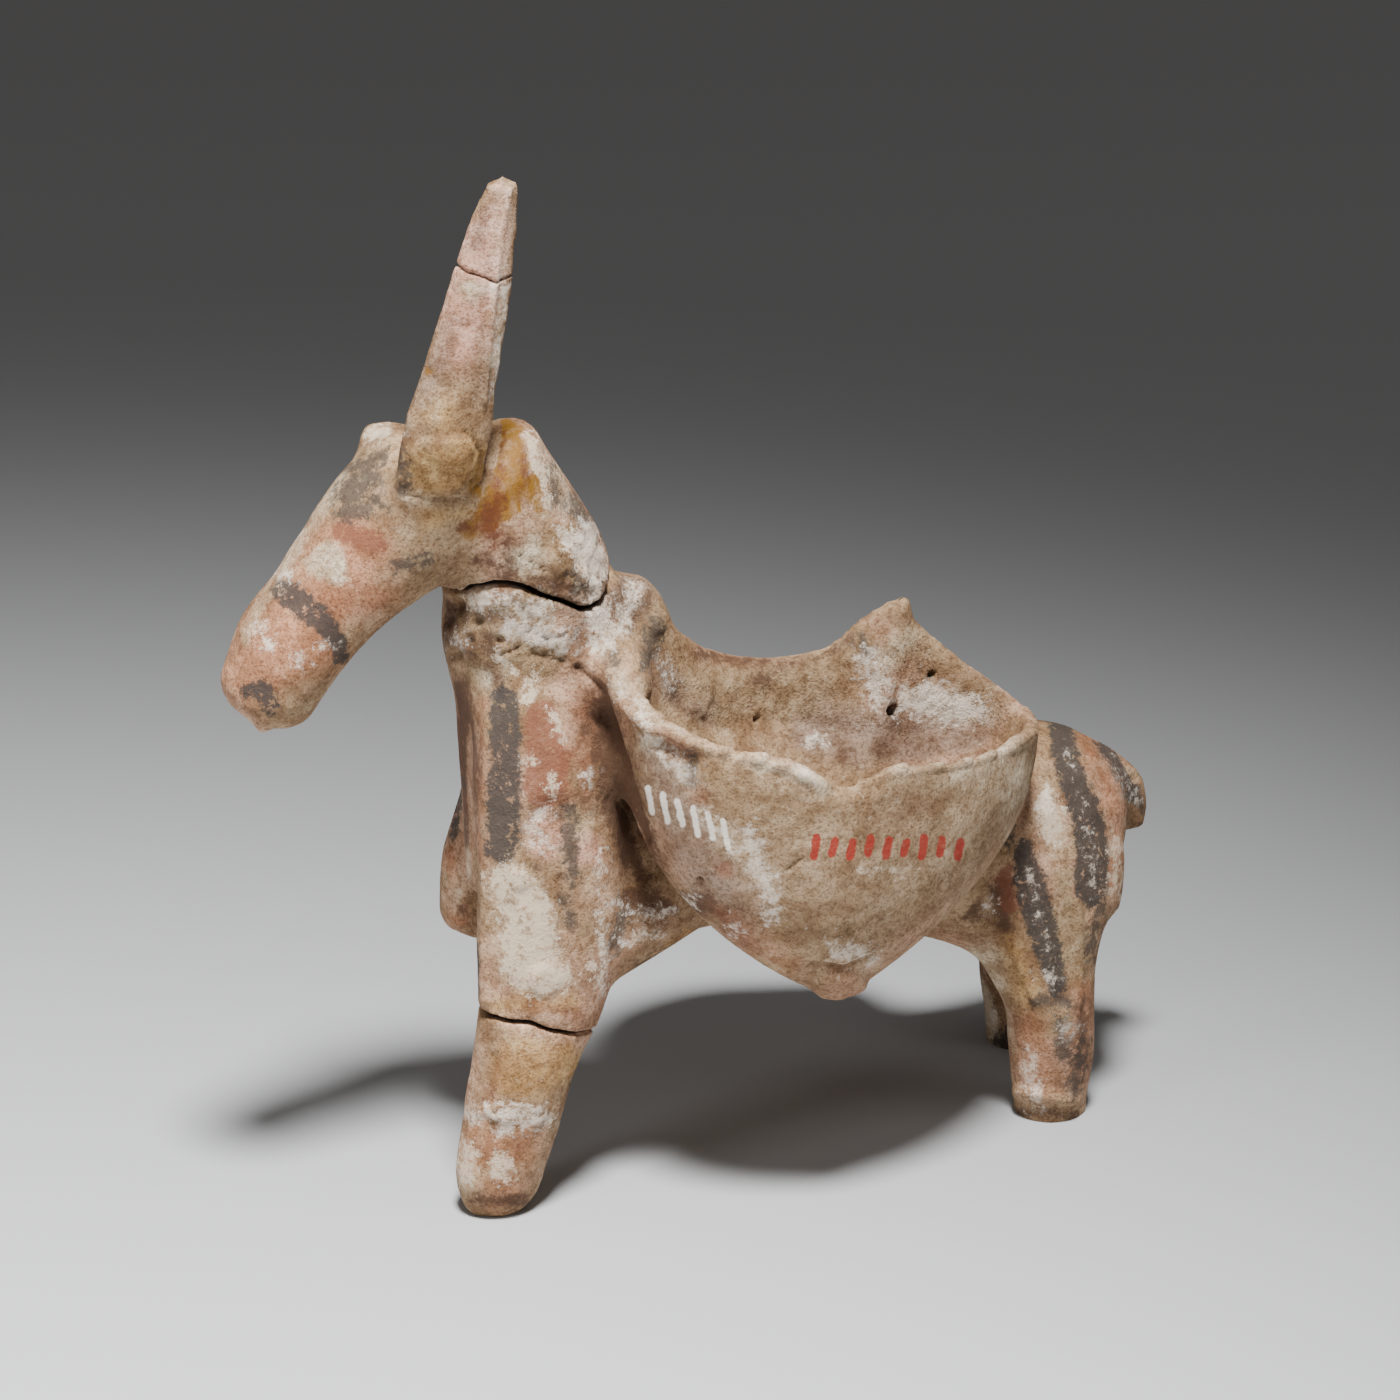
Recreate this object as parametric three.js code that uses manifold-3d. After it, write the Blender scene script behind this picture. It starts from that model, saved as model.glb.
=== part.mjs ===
// A hand-modelled terracotta donkey that carries a pannier on each flank, in millimetres.
// The head points to -X, the donkey's left side is -Y, and +Z is up. It was fired as one piece of clay,
// and it has lost its right ear, its right foreleg below the elbow and the end of its tail.
import * as THREE from "three";
import { mergeVertices } from "three/addons/utils/BufferGeometryUtils.js";
import Module from "manifold-3d";

const wasm = await Module();
wasm.setup();

// Driving sizes of the animal.
const TRUNK_RADIUS = 12;
const CHEST_AXIS = 45.5; // height of the trunk's axis at the chest
const RUMP_AXIS = 39; // and at the rump
const NECK_RADIUS = 10.4;
const SNOUT_RADIUS = 7.3;
const EAR_TIP = 143.6; // height of the whole figure
const STANCE = 10.8; // from the middle plane to the middle of a hind foot
const STUMP_END = 29; // height of the break across the right foreleg

// Driving sizes of the panniers.
const WALL = 3.2;
const LEFT_FLOOR = 8; // thickness of the clay at the bottom
const RIGHT_FLOOR = 4;
const PANNIER_FOOT = 29.5; // height of the left pannier's lowest point

// The middle of the figure's outline, which becomes the origin.
const CENTRE = new THREE.Vector3(-6.6, -3.7, 0);

const ALONG_X = new THREE.Vector3(1, 0, 0);
const ALONG_Y = new THREE.Vector3(0, 1, 0);
const ALONG_Z = new THREE.Vector3(0, 0, 1);

// Catmull-Rom through rows of numbers, at u from 0 to the last row, or round a closed loop.
function spline(rows, u, closed = false) {
  const n = rows.length;
  const i = closed ? Math.floor(u) : Math.min(Math.floor(u), n - 2);
  const f = u - i;
  const row = (k) => (closed ? rows[((k % n) + n) % n] : rows[Math.max(0, Math.min(n - 1, k))]);
  const [before, from, to, after] = [row(i - 1), row(i), row(i + 1), row(i + 2)];
  return from.map((q, k) => {
    const [p, r, s] = [before[k], to[k], after[k]];
    const linear = r - p;
    const square = 2 * p - 5 * q + 4 * r - s;
    const cube = 3 * q - p - 3 * r + s;
    return 0.5 * (2 * q + linear * f + square * f * f + cube * f * f * f);
  });
}

function solid(geometry) {
  const vertProperties = new Float32Array(geometry.getAttribute("position").array);
  const triVerts = new Uint32Array(geometry.index.array);
  return new wasm.Manifold(new wasm.Mesh({ numProp: 3, vertProperties, triVerts }));
}

// A closed skin over rings of equal length, with a point at each end.
function skin(startPole, rings, endPole) {
  const sides = rings[0].length;
  const points = [startPole, ...rings.flat(), endPole];
  const last = points.length - 1;
  const at = (ring, side) => 1 + ring * sides + (side % sides);
  const index = [];
  for (let side = 0; side < sides; side++) {
    index.push(0, at(0, side + 1), at(0, side));
    for (let ring = 0; ring + 1 < rings.length; ring++) {
      index.push(at(ring, side), at(ring, side + 1), at(ring + 1, side + 1));
      index.push(at(ring, side), at(ring + 1, side + 1), at(ring + 1, side));
    }
    index.push(last, at(rings.length - 1, side), at(rings.length - 1, side + 1));
  }
  return solid(new THREE.BufferGeometry().setFromPoints(points).setIndex(index));
}

// A roll of clay: elliptical sections square to a path. Each station is x, y, z, the half width
// along the side direction and the half width across it. Domes of the given lengths close the ends.
function roll(stations, { side = ALONG_Y, sides = 16, steps = 2, domes = [3, 3] }) {
  const DOME_RINGS = 3;
  const spans = stations.length - 1;
  const centreAt = (u) => new THREE.Vector3(...spline(stations, u).slice(0, 3));
  const tangentAt = (u) => {
    const step = 0.01;
    const ahead = centreAt(Math.min(spans, u + step));
    return ahead.sub(centreAt(Math.max(0, u - step))).normalize();
  };
  const ringAt = (u, scale, advance) => {
    const tangent = tangentAt(u);
    const across = side.clone().addScaledVector(tangent, -side.dot(tangent)).normalize();
    const up = tangent.clone().cross(across);
    const [wide, tall] = spline(stations, u).slice(3);
    const middle = centreAt(u).addScaledVector(tangent, advance);
    return Array.from({ length: sides }, (_, k) => {
      const angle = (2 * Math.PI * k) / sides;
      const point = middle.clone().addScaledVector(across, scale * wide * Math.cos(angle));
      return point.addScaledVector(up, scale * tall * Math.sin(angle));
    });
  };
  const dome = (u, length) =>
    [1, 2].map((k) => {
      const lift = (Math.PI / 2) * (k / DOME_RINGS);
      return ringAt(u, Math.cos(lift), length * Math.sin(lift));
    });
  const body = Array.from({ length: spans * steps + 1 }, (_, k) => ringAt(k / steps, 1, 0));
  const start = centreAt(0).addScaledVector(tangentAt(0), -domes[0]);
  const end = centreAt(spans).addScaledVector(tangentAt(spans), domes[1]);
  return skin(start, [...dome(0, -domes[0]).reverse(), ...body, ...dome(spans, domes[1])], end);
}

// A pinched clay pouch: an even wall between an irregular rim and a rounded point below it.
// Each rim station is x, y, z and the fullness of the wall below it: 1 is straight, more is bellied.
// The stations run anticlockwise seen from above.
function pouch(rim, foot, floor) {
  const AROUND = 35;
  const DOWN = 8;
  const LIP = 3;
  const pointAt = (around, down, inset, thickness, lift) => {
    const [x, y, z, fullness] = spline(rim, around, true);
    const level = new THREE.Vector3(x - foot.x, y - foot.y, 0);
    const reach = (level.length() - inset) * Math.pow(1 - Math.pow(down, fullness), 0.85);
    const drop = (z - foot.z - thickness) * down;
    const point = level.normalize().multiplyScalar(reach);
    return point.add(new THREE.Vector3(foot.x, foot.y, z - drop + lift));
  };
  const ringAt = (down, inset, thickness, lift) =>
    Array.from({ length: AROUND }, (_, k) =>
      pointAt((rim.length * k) / AROUND, down, inset, thickness, lift),
    );
  const depths = Array.from({ length: DOWN }, (_, k) => 1 - Math.pow(1 - k / DOWN, 1.3));
  const outside = depths.map((down) => ringAt(down, 0, 0, 0)).reverse();
  const inside = depths.map((down) => ringAt(down, WALL, floor, 0));
  const lip = Array.from({ length: LIP - 1 }, (_, k) => {
    const turn = (Math.PI * (k + 1)) / LIP;
    return ringAt(0, (WALL / 2) * (1 - Math.cos(turn)), 0, (WALL / 2) * Math.sin(turn));
  });
  const within = foot.clone().addScaledVector(ALONG_Z, floor);
  return skin(foot, [...outside, ...lip, ...inside], within);
}

// The trunk falls a little from the chest to a rounded rump.
const trunk = roll(
  [
    [-28, 0, CHEST_AXIS - 2, 10.5, TRUNK_RADIUS],
    [-16, 0, CHEST_AXIS - 2, TRUNK_RADIUS, TRUNK_RADIUS + 0.4],
    [-2, 0, CHEST_AXIS - 1.6, TRUNK_RADIUS, TRUNK_RADIUS],
    [14, 0, CHEST_AXIS - 4.5, TRUNK_RADIUS, TRUNK_RADIUS],
    [30, 0, RUMP_AXIS - 1, 12.5, TRUNK_RADIUS + 1.6],
    [42, 0, RUMP_AXIS, 12.5, TRUNK_RADIUS + 1],
  ],
  { domes: [4, 13] },
);

// The neck rises from between the forelegs and leans forward to the poll.
const NECK = [
  [-29, 0, 42, 9, 9.5],
  [-28.6, 0, 58.6, 10.8, NECK_RADIUS],
  [-29.2, 0, 68.7, NECK_RADIUS, NECK_RADIUS],
  [-29.8, 0, 77.2, NECK_RADIUS, 11.5],
  [-30.2, 0, 85, 10, 11.2],
  [-33.6, 0, 93, 9.6, 10.3],
  [-38, 0, 99.4, 8.8, 11],
];
const neck = roll(NECK, { domes: [3, 4] });

// The head is a plain tapering roll of clay that hangs forward from the poll.
const head = roll(
  [
    [-43, 0, 99.5, 9, 9.6],
    [-49, 0, 93.8, 8.8, 9.7],
    [-54.6, 0, 88.7, 7.8, 8.2],
    [-58.5, 0, 84.5, SNOUT_RADIUS, SNOUT_RADIUS + 0.2],
    [-62.5, 0, 80, SNOUT_RADIUS, SNOUT_RADIUS],
    [-65.4, 0, 74.4, 6.5, 6.6],
  ],
  { domes: [5, 4.6] },
);

// The left ear is a flattened strip, pressed on to the side of the head and set upright.
const EAR = [
  [-44.9, -7.2, 100, 5.8, 2.6],
  [-44, -9, 109, 6.1, 2.8],
  [-42.6, -9, 115, 5.5, 2.6],
  [-40.7, -9, 122.5, 4.9, 2.4],
  [-38.9, -9, 130, 4.2, 2.2],
  [-37.5, -9, 136.5, 3.5, 1.9],
  [-36, -9, EAR_TIP - 2, 2.4, 1.5],
];
const leftEar = roll(EAR, { side: ALONG_X, domes: [3, 2], sides: 16 });
const rightEarStub = roll(
  [
    [-46.4, 5, 98, 6, 3],
    [-45.3, 6.4, 105, 4.6, 2.2],
  ],
  { side: ALONG_X, domes: [2, 1], sides: 12 },
);

// Each foreleg comes down from the shoulder and spreads into the belly behind it.
const FORELEG = [
  [-29.6, -2, 83, 5, 4],
  [-30.2, -4.8, 74, 8.2, 5.8],
  [-30.8, -7.8, 63, 9.5, 6.4],
  [-30.8, -9.8, 50, 9.8, 6.6],
  [-31.2, -10.8, 38, 9.8, 6.4],
  [-32.6, -11.2, 30, 8.8, 6.1],
  [-35, -11.4, 22, 7.2, 5.9],
  [-37, -11.2, 13, 6.6, 5.5],
  [-38.5, -10.8, 6, 6, 5.2],
];
const leftForeleg = roll(FORELEG, { side: ALONG_X, domes: [3, 8] });
const rightForeleg = roll(
  [
    [-29, 2, 83, 5, 4],
    [-28.4, 4.8, 74, 7, 5.8],
    [-27.2, 7.8, 63, 7.2, 6.2],
    [-27.8, 10, 50, 7.8, 6.4],
    [-29.8, 10.8, 39, 8.8, 6.2],
    [-31.6, 11, STUMP_END + 2.4, 7.2, 5.8],
  ],
  { side: ALONG_X, domes: [3, 2.4] },
);

// Clay smeared over the joins fills the angles between the belly and the legs.
function gusset(from, to, sideways) {
  const [start, end] = [from, to].map(([x, y, z, radius]) => [x, sideways * y, z, radius, radius]);
  return roll([start, end], { sides: 10 });
}

// The hind legs are thick at the thigh and stand on flat soles.
function hindLeg(sideways, setBack) {
  return roll(
    [
      [43, sideways * 2.4, 45, 7.5, 6],
      [41.6 + 0.3 * setBack, sideways * 6.2, 37, 10.8, 7.4],
      [39.4 + 0.6 * setBack, sideways * 8.2, 29, 11.8, 7],
      [39.6 + 0.8 * setBack, sideways * 9.4, 23.5, 8.6, 6.5],
      [40.3 + setBack, sideways * STANCE, 17, 6.3, 5.8],
      [40.8 + setBack, sideways * STANCE, 10, 6, 5.5],
      [40.8 + setBack, sideways * STANCE, 1.5, 5, 4.7],
      [40.8 + setBack, sideways * STANCE, -3, 4.6, 4.3],
    ],
    { side: ALONG_X, domes: [3, 1] },
  );
}

// The tail is a thin roll that lies over the rump, and its end is broken off.
const tail = roll(
  [
    [45, 0, 49, 2.6, 2.2],
    [51.2, 0, 45.8, 2.9, 2.4],
    [55.8, 0, 41.6, 2.9, 2.3],
    [56.8, 0, 36, 2.6, 2.1],
  ],
  { domes: [2, 1.5], sides: 12 },
);

// The panniers' common ridge stands along the back, behind a lump at the withers.
const saddle = roll(
  [
    [-19, 0, 64, 5, 9],
    [-6, 0, 58.5, 6, 9],
    [10, 0, 57, 6.5, 8],
    [22, 0, 57, 6, 8],
    [32, 0, 52, 5, 6],
  ],
  { domes: [3, 4] },
);
const withers = roll(
  [
    [-25, 0, 74, 8, 8],
    [-15.2, -1, 76.2, 7, 7],
  ],
  { domes: [3, 4.4] },
);
const shoulderJoin = roll(
  [
    [-20, -3, 75, 6, 5],
    [-21.5, -10, 74, 5, 4.5],
    [-21.6, -14, 73, 3.6, 3.6],
  ],
  { side: ALONG_Z, domes: [2, 2], sides: 12 },
);

const leftPannier = pouch(
  [
    [-23.2, -13, 73.8, 2.6],
    [-22.2, -20.5, 71.8, 2.6],
    [-17.2, -28, 69.2, 2.6],
    [-7, -33, 66.6, 2.7],
    [0.9, -34, 62, 2.8],
    [9, -33, 63, 2.8],
    [18.6, -30.2, 61.8, 2.7],
    [28, -24.4, 60, 2.5],
    [35, -17, 59.2, 2.4],
    [37, -10, 58.8, 2.2],
    [31, -3.4, 63.8, 1.5],
    [25.5, -0.6, 68.8, 1.1],
    [23.8, 0.4, 73.2, 1],
    [17.5, 0.6, 70.6, 1],
    [12, 0.6, 67.1, 1],
    [3, 0.6, 67, 1],
    [-6, 0.6, 69.6, 1],
    [-13, -3, 75, 1.4],
    [-19, -7, 76, 2],
  ],
  new THREE.Vector3(3.3, -25, PANNIER_FOOT),
  LEFT_FLOOR,
);
const rightPannier = pouch(
  [
    [-16, 12, 58, 2.6],
    [-10, 4, 62, 1.6],
    [4, 1, 62, 1],
    [18, 1, 60, 1],
    [26, 6, 55, 1.6],
    [28, 13, 50, 2.3],
    [24, 20.5, 47.5, 2.4],
    [14, 25, 46.5, 2.5],
    [4, 26.5, 48, 2.6],
    [-6, 24.5, 50.5, 2.6],
    [-14, 19, 54.5, 2.6],
  ],
  new THREE.Vector3(5, 19.5, PANNIER_FOOT + 2),
  RIGHT_FLOOR,
);

const FORE_GUSSET = [
  [-29, 9, 34, 6.5],
  [-10, 5.5, 42.6, 8],
];
const HIND_GUSSET = [
  [36, 8, 28.2, 6.5],
  [22, 4.5, 38.6, 9.5],
];
const gussets = [-1, 1].flatMap((sideways) => [
  gusset(...FORE_GUSSET, sideways),
  gusset(...HIND_GUSSET, sideways),
]);

const shapes = [
  trunk, neck, head, leftEar, rightEarStub, leftForeleg, rightForeleg, hindLeg(-1, 0), hindLeg(1, 5),
  ...gussets, tail, saddle, withers, shoulderJoin, leftPannier, rightPannier,
];
const modelled = shapes.reduce((whole, shape) => whole.add(shape));

// The mended breaks are gaps all round the neck, the left foreleg and the tip of the ear. Each is a thin
// wavy leaf, of stations like a roll's, that stops at the given depth below the surface.
function mend(leaf, stations, options, depth) {
  const core = stations.map(([x, y, z, wide, tall]) => [x, y, z, wide - depth, tall - depth]);
  return roll(leaf, { sides: 8 }).subtract(roll(core, options));
}
const neckMend = mend(
  [
    [-44, 0, 83.6, 20, 0.7],
    [-41, 0, 85.6, 20, 0.7],
    [-35, 0, 87.6, 20, 0.6],
    [-28, 0, 84, 20, 0.7],
    [-24, 0, 83.6, 20, 0.6],
    [-16, 0, 87, 20, 0.6],
  ],
  NECK,
  { domes: [3, 4] },
  1.8,
);
const legMend = mend(
  [
    [-44, -13, 28.6, 12, 0.4],
    [-40, -13, 29.4, 12, 0.4],
    [-34, -13, 28, 12, 0.5],
    [-24, -13, 24.4, 12, 0.6],
  ],
  FORELEG,
  { side: ALONG_X, domes: [3, 8] },
  1.6,
);
const earMend = mend(
  [
    [-46, -9, 134.6, 6, 0.3],
    [-39, -9, 131, 6, 0.3],
    [-32, -9, 128.2, 6, 0.3],
  ],
  EAR,
  { side: ALONG_X, domes: [3, 2], sides: 16 },
  0.8,
);
const mended = [neckMend, legMend, earMend].reduce((whole, gap) => whole.subtract(gap), modelled);

// The feet were pressed flat, so everything below the ground is cut away.
const ground = new THREE.BoxGeometry(200, 200, 20).translate(0, 0, -10);
ground.deleteAttribute("normal");
ground.deleteAttribute("uv");
const standing = mended.subtract(solid(mergeVertices(ground)));

function meshOf(name, shape, material) {
  const { vertProperties, triVerts, numProp } = shape.getMesh();
  const position = new THREE.BufferAttribute(new Float32Array(vertProperties), numProp);
  const geometry = new THREE.BufferGeometry().setAttribute("position", position);
  geometry.setIndex(new THREE.BufferAttribute(new Uint32Array(triVerts), 1));
  const mesh = new THREE.Mesh(geometry, material);
  mesh.name = name;
  return mesh;
}

const paintedClay = new THREE.MeshStandardMaterial({ color: 0xa8836a, roughness: 0.9, metalness: 0 });
const figure = new THREE.Group();
const donkey = meshOf("donkey", standing, paintedClay);
donkey.position.copy(CENTRE).negate();
figure.add(donkey);

export default figure;
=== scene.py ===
from math import cos, pi, radians, sin

import bmesh
import bpy
import numpy as np
from mathutils import Matrix, Vector


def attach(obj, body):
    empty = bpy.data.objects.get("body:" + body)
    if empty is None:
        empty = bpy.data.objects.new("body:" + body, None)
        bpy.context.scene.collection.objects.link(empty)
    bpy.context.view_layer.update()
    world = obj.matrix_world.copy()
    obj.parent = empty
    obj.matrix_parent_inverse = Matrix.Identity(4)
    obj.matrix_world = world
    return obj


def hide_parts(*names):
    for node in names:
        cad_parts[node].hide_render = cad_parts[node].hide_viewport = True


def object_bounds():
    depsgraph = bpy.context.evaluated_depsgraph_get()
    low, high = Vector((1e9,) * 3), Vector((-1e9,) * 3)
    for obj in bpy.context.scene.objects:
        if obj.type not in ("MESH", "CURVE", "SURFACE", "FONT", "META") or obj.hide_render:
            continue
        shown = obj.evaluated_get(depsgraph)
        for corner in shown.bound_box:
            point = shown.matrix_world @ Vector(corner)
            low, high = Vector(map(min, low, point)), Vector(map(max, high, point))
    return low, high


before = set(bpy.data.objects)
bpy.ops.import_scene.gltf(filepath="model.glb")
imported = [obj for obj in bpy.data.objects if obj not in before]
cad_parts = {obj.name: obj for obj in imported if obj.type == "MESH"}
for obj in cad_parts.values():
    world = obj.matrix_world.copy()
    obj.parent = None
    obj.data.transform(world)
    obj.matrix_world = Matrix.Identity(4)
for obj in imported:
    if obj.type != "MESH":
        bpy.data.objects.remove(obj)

cad_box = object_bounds()

# The camera. It stands in front of the donkey's left flank and a little above it, with a long lens.
# Sizes below are millimetres on the figure's own middle plane, y = 0, with the head towards -x;
# the frame's origin is under the middle of the figure, so MIDDLE is taken off at the end.
MM = 0.001
MIDDLE = np.array([-6.6, -3.7, 0.0])
CAMERA_TURN = radians(-21.2)
CAMERA_RISE = radians(23.8)
CAMERA_DISTANCE = 1000.0
LENS = 195.4
SENSOR = 36.0
PICTURE = 1400
LOOK_AT = np.array([-6.0, 0.0, 63.5])

TO_CAMERA = np.array([
    sin(CAMERA_TURN) * cos(CAMERA_RISE),
    -cos(CAMERA_TURN) * cos(CAMERA_RISE),
    sin(CAMERA_RISE),
])
CAMERA_RIGHT = np.array([cos(CAMERA_TURN), sin(CAMERA_TURN), 0.0])
CAMERA_UP = np.cross(TO_CAMERA, CAMERA_RIGHT)

camera_data = bpy.data.cameras.new("camera")
camera_data.lens = LENS
camera_data.sensor_width = SENSOR
camera = bpy.data.objects.new("camera", camera_data)
bpy.context.scene.collection.objects.link(camera)
camera_turn = Matrix((CAMERA_RIGHT, CAMERA_UP, TO_CAMERA)).transposed().to_4x4()
camera_place = (LOOK_AT + CAMERA_DISTANCE * TO_CAMERA - MIDDLE) * MM
camera.matrix_world = Matrix.Translation(Vector(camera_place)) @ camera_turn
bpy.context.scene.camera = camera


def picture_place(points):
    """Where points in mm appear in the picture: (x, y) pixels from its top left corner.

    x = 700 + f * right / depth and y = 700 - f * up / depth, with f the lens in pixels.
    """
    from_target = points - LOOK_AT
    depth = CAMERA_DISTANCE - from_target @ TO_CAMERA
    focal = LENS / SENSOR * PICTURE
    across = PICTURE / 2 + focal * (from_target @ CAMERA_RIGHT) / depth
    down = PICTURE / 2 - focal * (from_target @ CAMERA_UP) / depth
    return np.stack([across, down], axis=-1)


# The animal. Its trunk, neck, head, ears, legs and tail are rolls of one buff clay, pressed
# together while soft. The right ear and right foreleg are broken off, and so is the tail's end.
# Each station of a roll is x, y, z, wide, tall in mm.
TRUNK_RADIUS = 12.0
CHEST_AXIS = 45.5
RUMP_AXIS = 39.0
NECK_RADIUS = 10.4
SNOUT_RADIUS = 7.3
EAR_TIP = 143.6
STANCE = 10.8
STUMP_END = 29.0
ALONG_X = (1.0, 0.0, 0.0)
ALONG_Y = (0.0, 1.0, 0.0)
ALONG_Z = (0.0, 0.0, 1.0)


def spline(rows, places, closed=False):
    """Catmull-Rom through rows of numbers: with p, q, r, s the rows round a place and f the part
    of the way from q to r, half of 2q + (r-p)f + (2p-5q+4r-s)f2 + (3q-p-3r+s)f3."""
    rows = np.asarray(rows, float)
    count = len(rows)
    first = np.floor(places).astype(int)
    if not closed:
        first = np.minimum(first, count - 2)
    f = (places - first)[:, None]
    near = [first + k for k in (-1, 0, 1, 2)]
    p, q, r, s = [rows[k % count] if closed else rows[np.clip(k, 0, count - 1)] for k in near]
    return 0.5 * (2 * q + (r - p) * f + (2 * p - 5 * q + 4 * r - s) * f**2
                  + (3 * q - p - 3 * r + s) * f**3)


def skin(start, rings, end):
    """A closed skin over rings of equal length: two triangles a cell, and a fan to each pole."""
    count, sides = rings.shape[:2]
    points = np.concatenate([[start], rings.reshape(-1, 3), [end]])
    ring, side = np.meshgrid(np.arange(count - 1), np.arange(sides), indexing="ij")
    beside = (side + 1) % sides
    a = 1 + ring * sides + side
    b = 1 + ring * sides + beside
    cells = [np.stack([a, b, b + sides], -1), np.stack([a, b + sides, a + sides], -1)]
    around = np.arange(sides)
    following = (around + 1) % sides
    first_fan = np.stack([np.zeros(sides, int), 1 + following, 1 + around], -1)
    base = 1 + (count - 1) * sides
    last_fan = np.stack([np.full(sides, base + sides), base + around, base + following], -1)
    faces = [cell.reshape(-1, 3) for cell in cells] + [first_fan, last_fan]
    return points, np.concatenate(faces)


def roll(stations, side=ALONG_Y, domes=(3.0, 3.0)):
    """A roll of clay: centre(u) + across * wide(u) * cos t + up * tall(u) * sin t, square to its
    path as u runs along the stations and t round them. The ends are domes of the given lengths."""
    sides = 40
    steps = 6
    dome_rings = 6
    last = len(stations) - 1
    lift = np.arange(1, dome_rings) / dome_rings * pi / 2
    body = np.linspace(0, last, last * steps + 1)
    u = np.concatenate([np.zeros(len(lift)), body, np.full(len(lift), last)])
    scale = np.concatenate([np.cos(lift)[::-1], np.ones(len(body)), np.cos(lift)])
    flat = np.zeros(len(body))
    advance = np.concatenate([-domes[0] * np.sin(lift)[::-1], flat, domes[1] * np.sin(lift)])
    place = spline(stations, u)
    step = 0.01
    ahead = spline(stations, np.minimum(u + step, last))[:, :3]
    behind = spline(stations, np.maximum(u - step, 0))[:, :3]
    tangent = (ahead - behind) / np.linalg.norm(ahead - behind, axis=1, keepdims=True)
    across = np.array(side) - tangent * (tangent @ np.array(side))[:, None]
    across /= np.linalg.norm(across, axis=1, keepdims=True)
    up = np.cross(tangent, across)
    t = np.linspace(0, 2 * pi, sides, endpoint=False)[None, :, None]
    centre = place[:, :3] + tangent * advance[:, None]
    wide = (scale * place[:, 3])[:, None, None]
    tall = (scale * place[:, 4])[:, None, None]
    rings = centre[:, None] + wide * np.cos(t) * across[:, None] + tall * np.sin(t) * up[:, None]
    start = place[0, :3] - domes[0] * tangent[0]
    end = place[-1, :3] + domes[1] * tangent[-1]
    return skin(start, rings, end)


TRUNK = [
    (-28, 0, CHEST_AXIS - 2, 10.5, TRUNK_RADIUS),
    (-16, 0, CHEST_AXIS - 2, TRUNK_RADIUS, TRUNK_RADIUS + 0.4),
    (-2, 0, CHEST_AXIS - 1.6, TRUNK_RADIUS, TRUNK_RADIUS),
    (14, 0, CHEST_AXIS - 4.5, TRUNK_RADIUS, TRUNK_RADIUS),
    (30, 0, RUMP_AXIS - 1, 12.5, TRUNK_RADIUS + 1.6),
    (42, 0, RUMP_AXIS, 12.5, TRUNK_RADIUS + 1),
]
NECK = [
    (-29, 0, 42, 9, 9.5),
    (-28.6, 0, 58.6, 10.8, NECK_RADIUS),
    (-29.2, 0, 68.7, NECK_RADIUS, NECK_RADIUS),
    (-29.8, 0, 77.2, NECK_RADIUS, 11.5),
    (-30.2, 0, 85, 10, 11.2),
    (-33.6, 0, 93, 9.6, 10.3),
    (-38, 0, 99.4, 8.8, 11),
]
HEAD = [
    (-43, 0, 99.5, 9, 9.6),
    (-49, 0, 93.8, 8.8, 9.7),
    (-54.6, 0, 88.7, 7.8, 8.2),
    (-58.5, 0, 84.5, SNOUT_RADIUS, SNOUT_RADIUS + 0.2),
    (-62.5, 0, 80, SNOUT_RADIUS, SNOUT_RADIUS),
    (-65.4, 0, 74.4, 6.5, 6.6),
]
EAR = [
    (-44.9, -7.2, 100, 5.8, 2.6),
    (-44, -9, 109, 6.1, 2.8),
    (-42.6, -9, 115, 5.5, 2.6),
    (-40.7, -9, 122.5, 4.9, 2.4),
    (-38.9, -9, 130, 4.2, 2.2),
    (-37.5, -9, 136.5, 3.5, 1.9),
    (-36, -9, EAR_TIP - 2, 2.4, 1.5),
]
LOST_EAR = [
    (-46.4, 5, 98, 6, 3),
    (-45.3, 6.4, 105, 4.6, 2.2),
]
LEFT_FORELEG = [
    (-29.6, -2, 83, 5, 4),
    (-30.2, -4.8, 74, 8.2, 5.8),
    (-30.8, -7.8, 63, 9.5, 6.4),
    (-30.8, -9.8, 50, 9.8, 6.6),
    (-31.2, -10.8, 38, 9.8, 6.4),
    (-32.6, -11.2, 30, 8.8, 6.1),
    (-35, -11.4, 22, 7.2, 5.9),
    (-37, -11.2, 13, 6.6, 5.5),
    (-38.5, -10.8, 6, 6, 5.2),
]
RIGHT_FORELEG = [
    (-29, 2, 83, 5, 4),
    (-28.4, 4.8, 74, 7, 5.8),
    (-27.2, 7.8, 63, 7.2, 6.2),
    (-27.8, 10, 50, 7.8, 6.4),
    (-29.8, 10.8, 39, 8.8, 6.2),
    (-31.6, 11, STUMP_END + 2.4, 7.2, 5.8),
]
TAIL = [
    (45, 0, 49, 2.6, 2.2),
    (51.2, 0, 45.8, 2.9, 2.4),
    (55.8, 0, 41.6, 2.9, 2.3),
    (56.8, 0, 36, 2.6, 2.1),
]


def hind_leg(flank, set_back):
    """The stations of a hind leg: a thick thigh that narrows to a straight shank."""
    return [
        (43, flank * 2.4, 45, 7.5, 6),
        (41.6 + 0.3 * set_back, flank * 6.2, 37, 10.8, 7.4),
        (39.4 + 0.6 * set_back, flank * 8.2, 29, 11.8, 7),
        (39.6 + 0.8 * set_back, flank * 9.4, 23.5, 8.6, 6.5),
        (40.3 + set_back, flank * STANCE, 17, 6.3, 5.8),
        (40.8 + set_back, flank * STANCE, 10, 6, 5.5),
        (40.8 + set_back, flank * STANCE, 1.5, 5, 4.7),
        (40.8 + set_back, flank * STANCE, -3, 4.6, 4.3),
    ]


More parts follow.
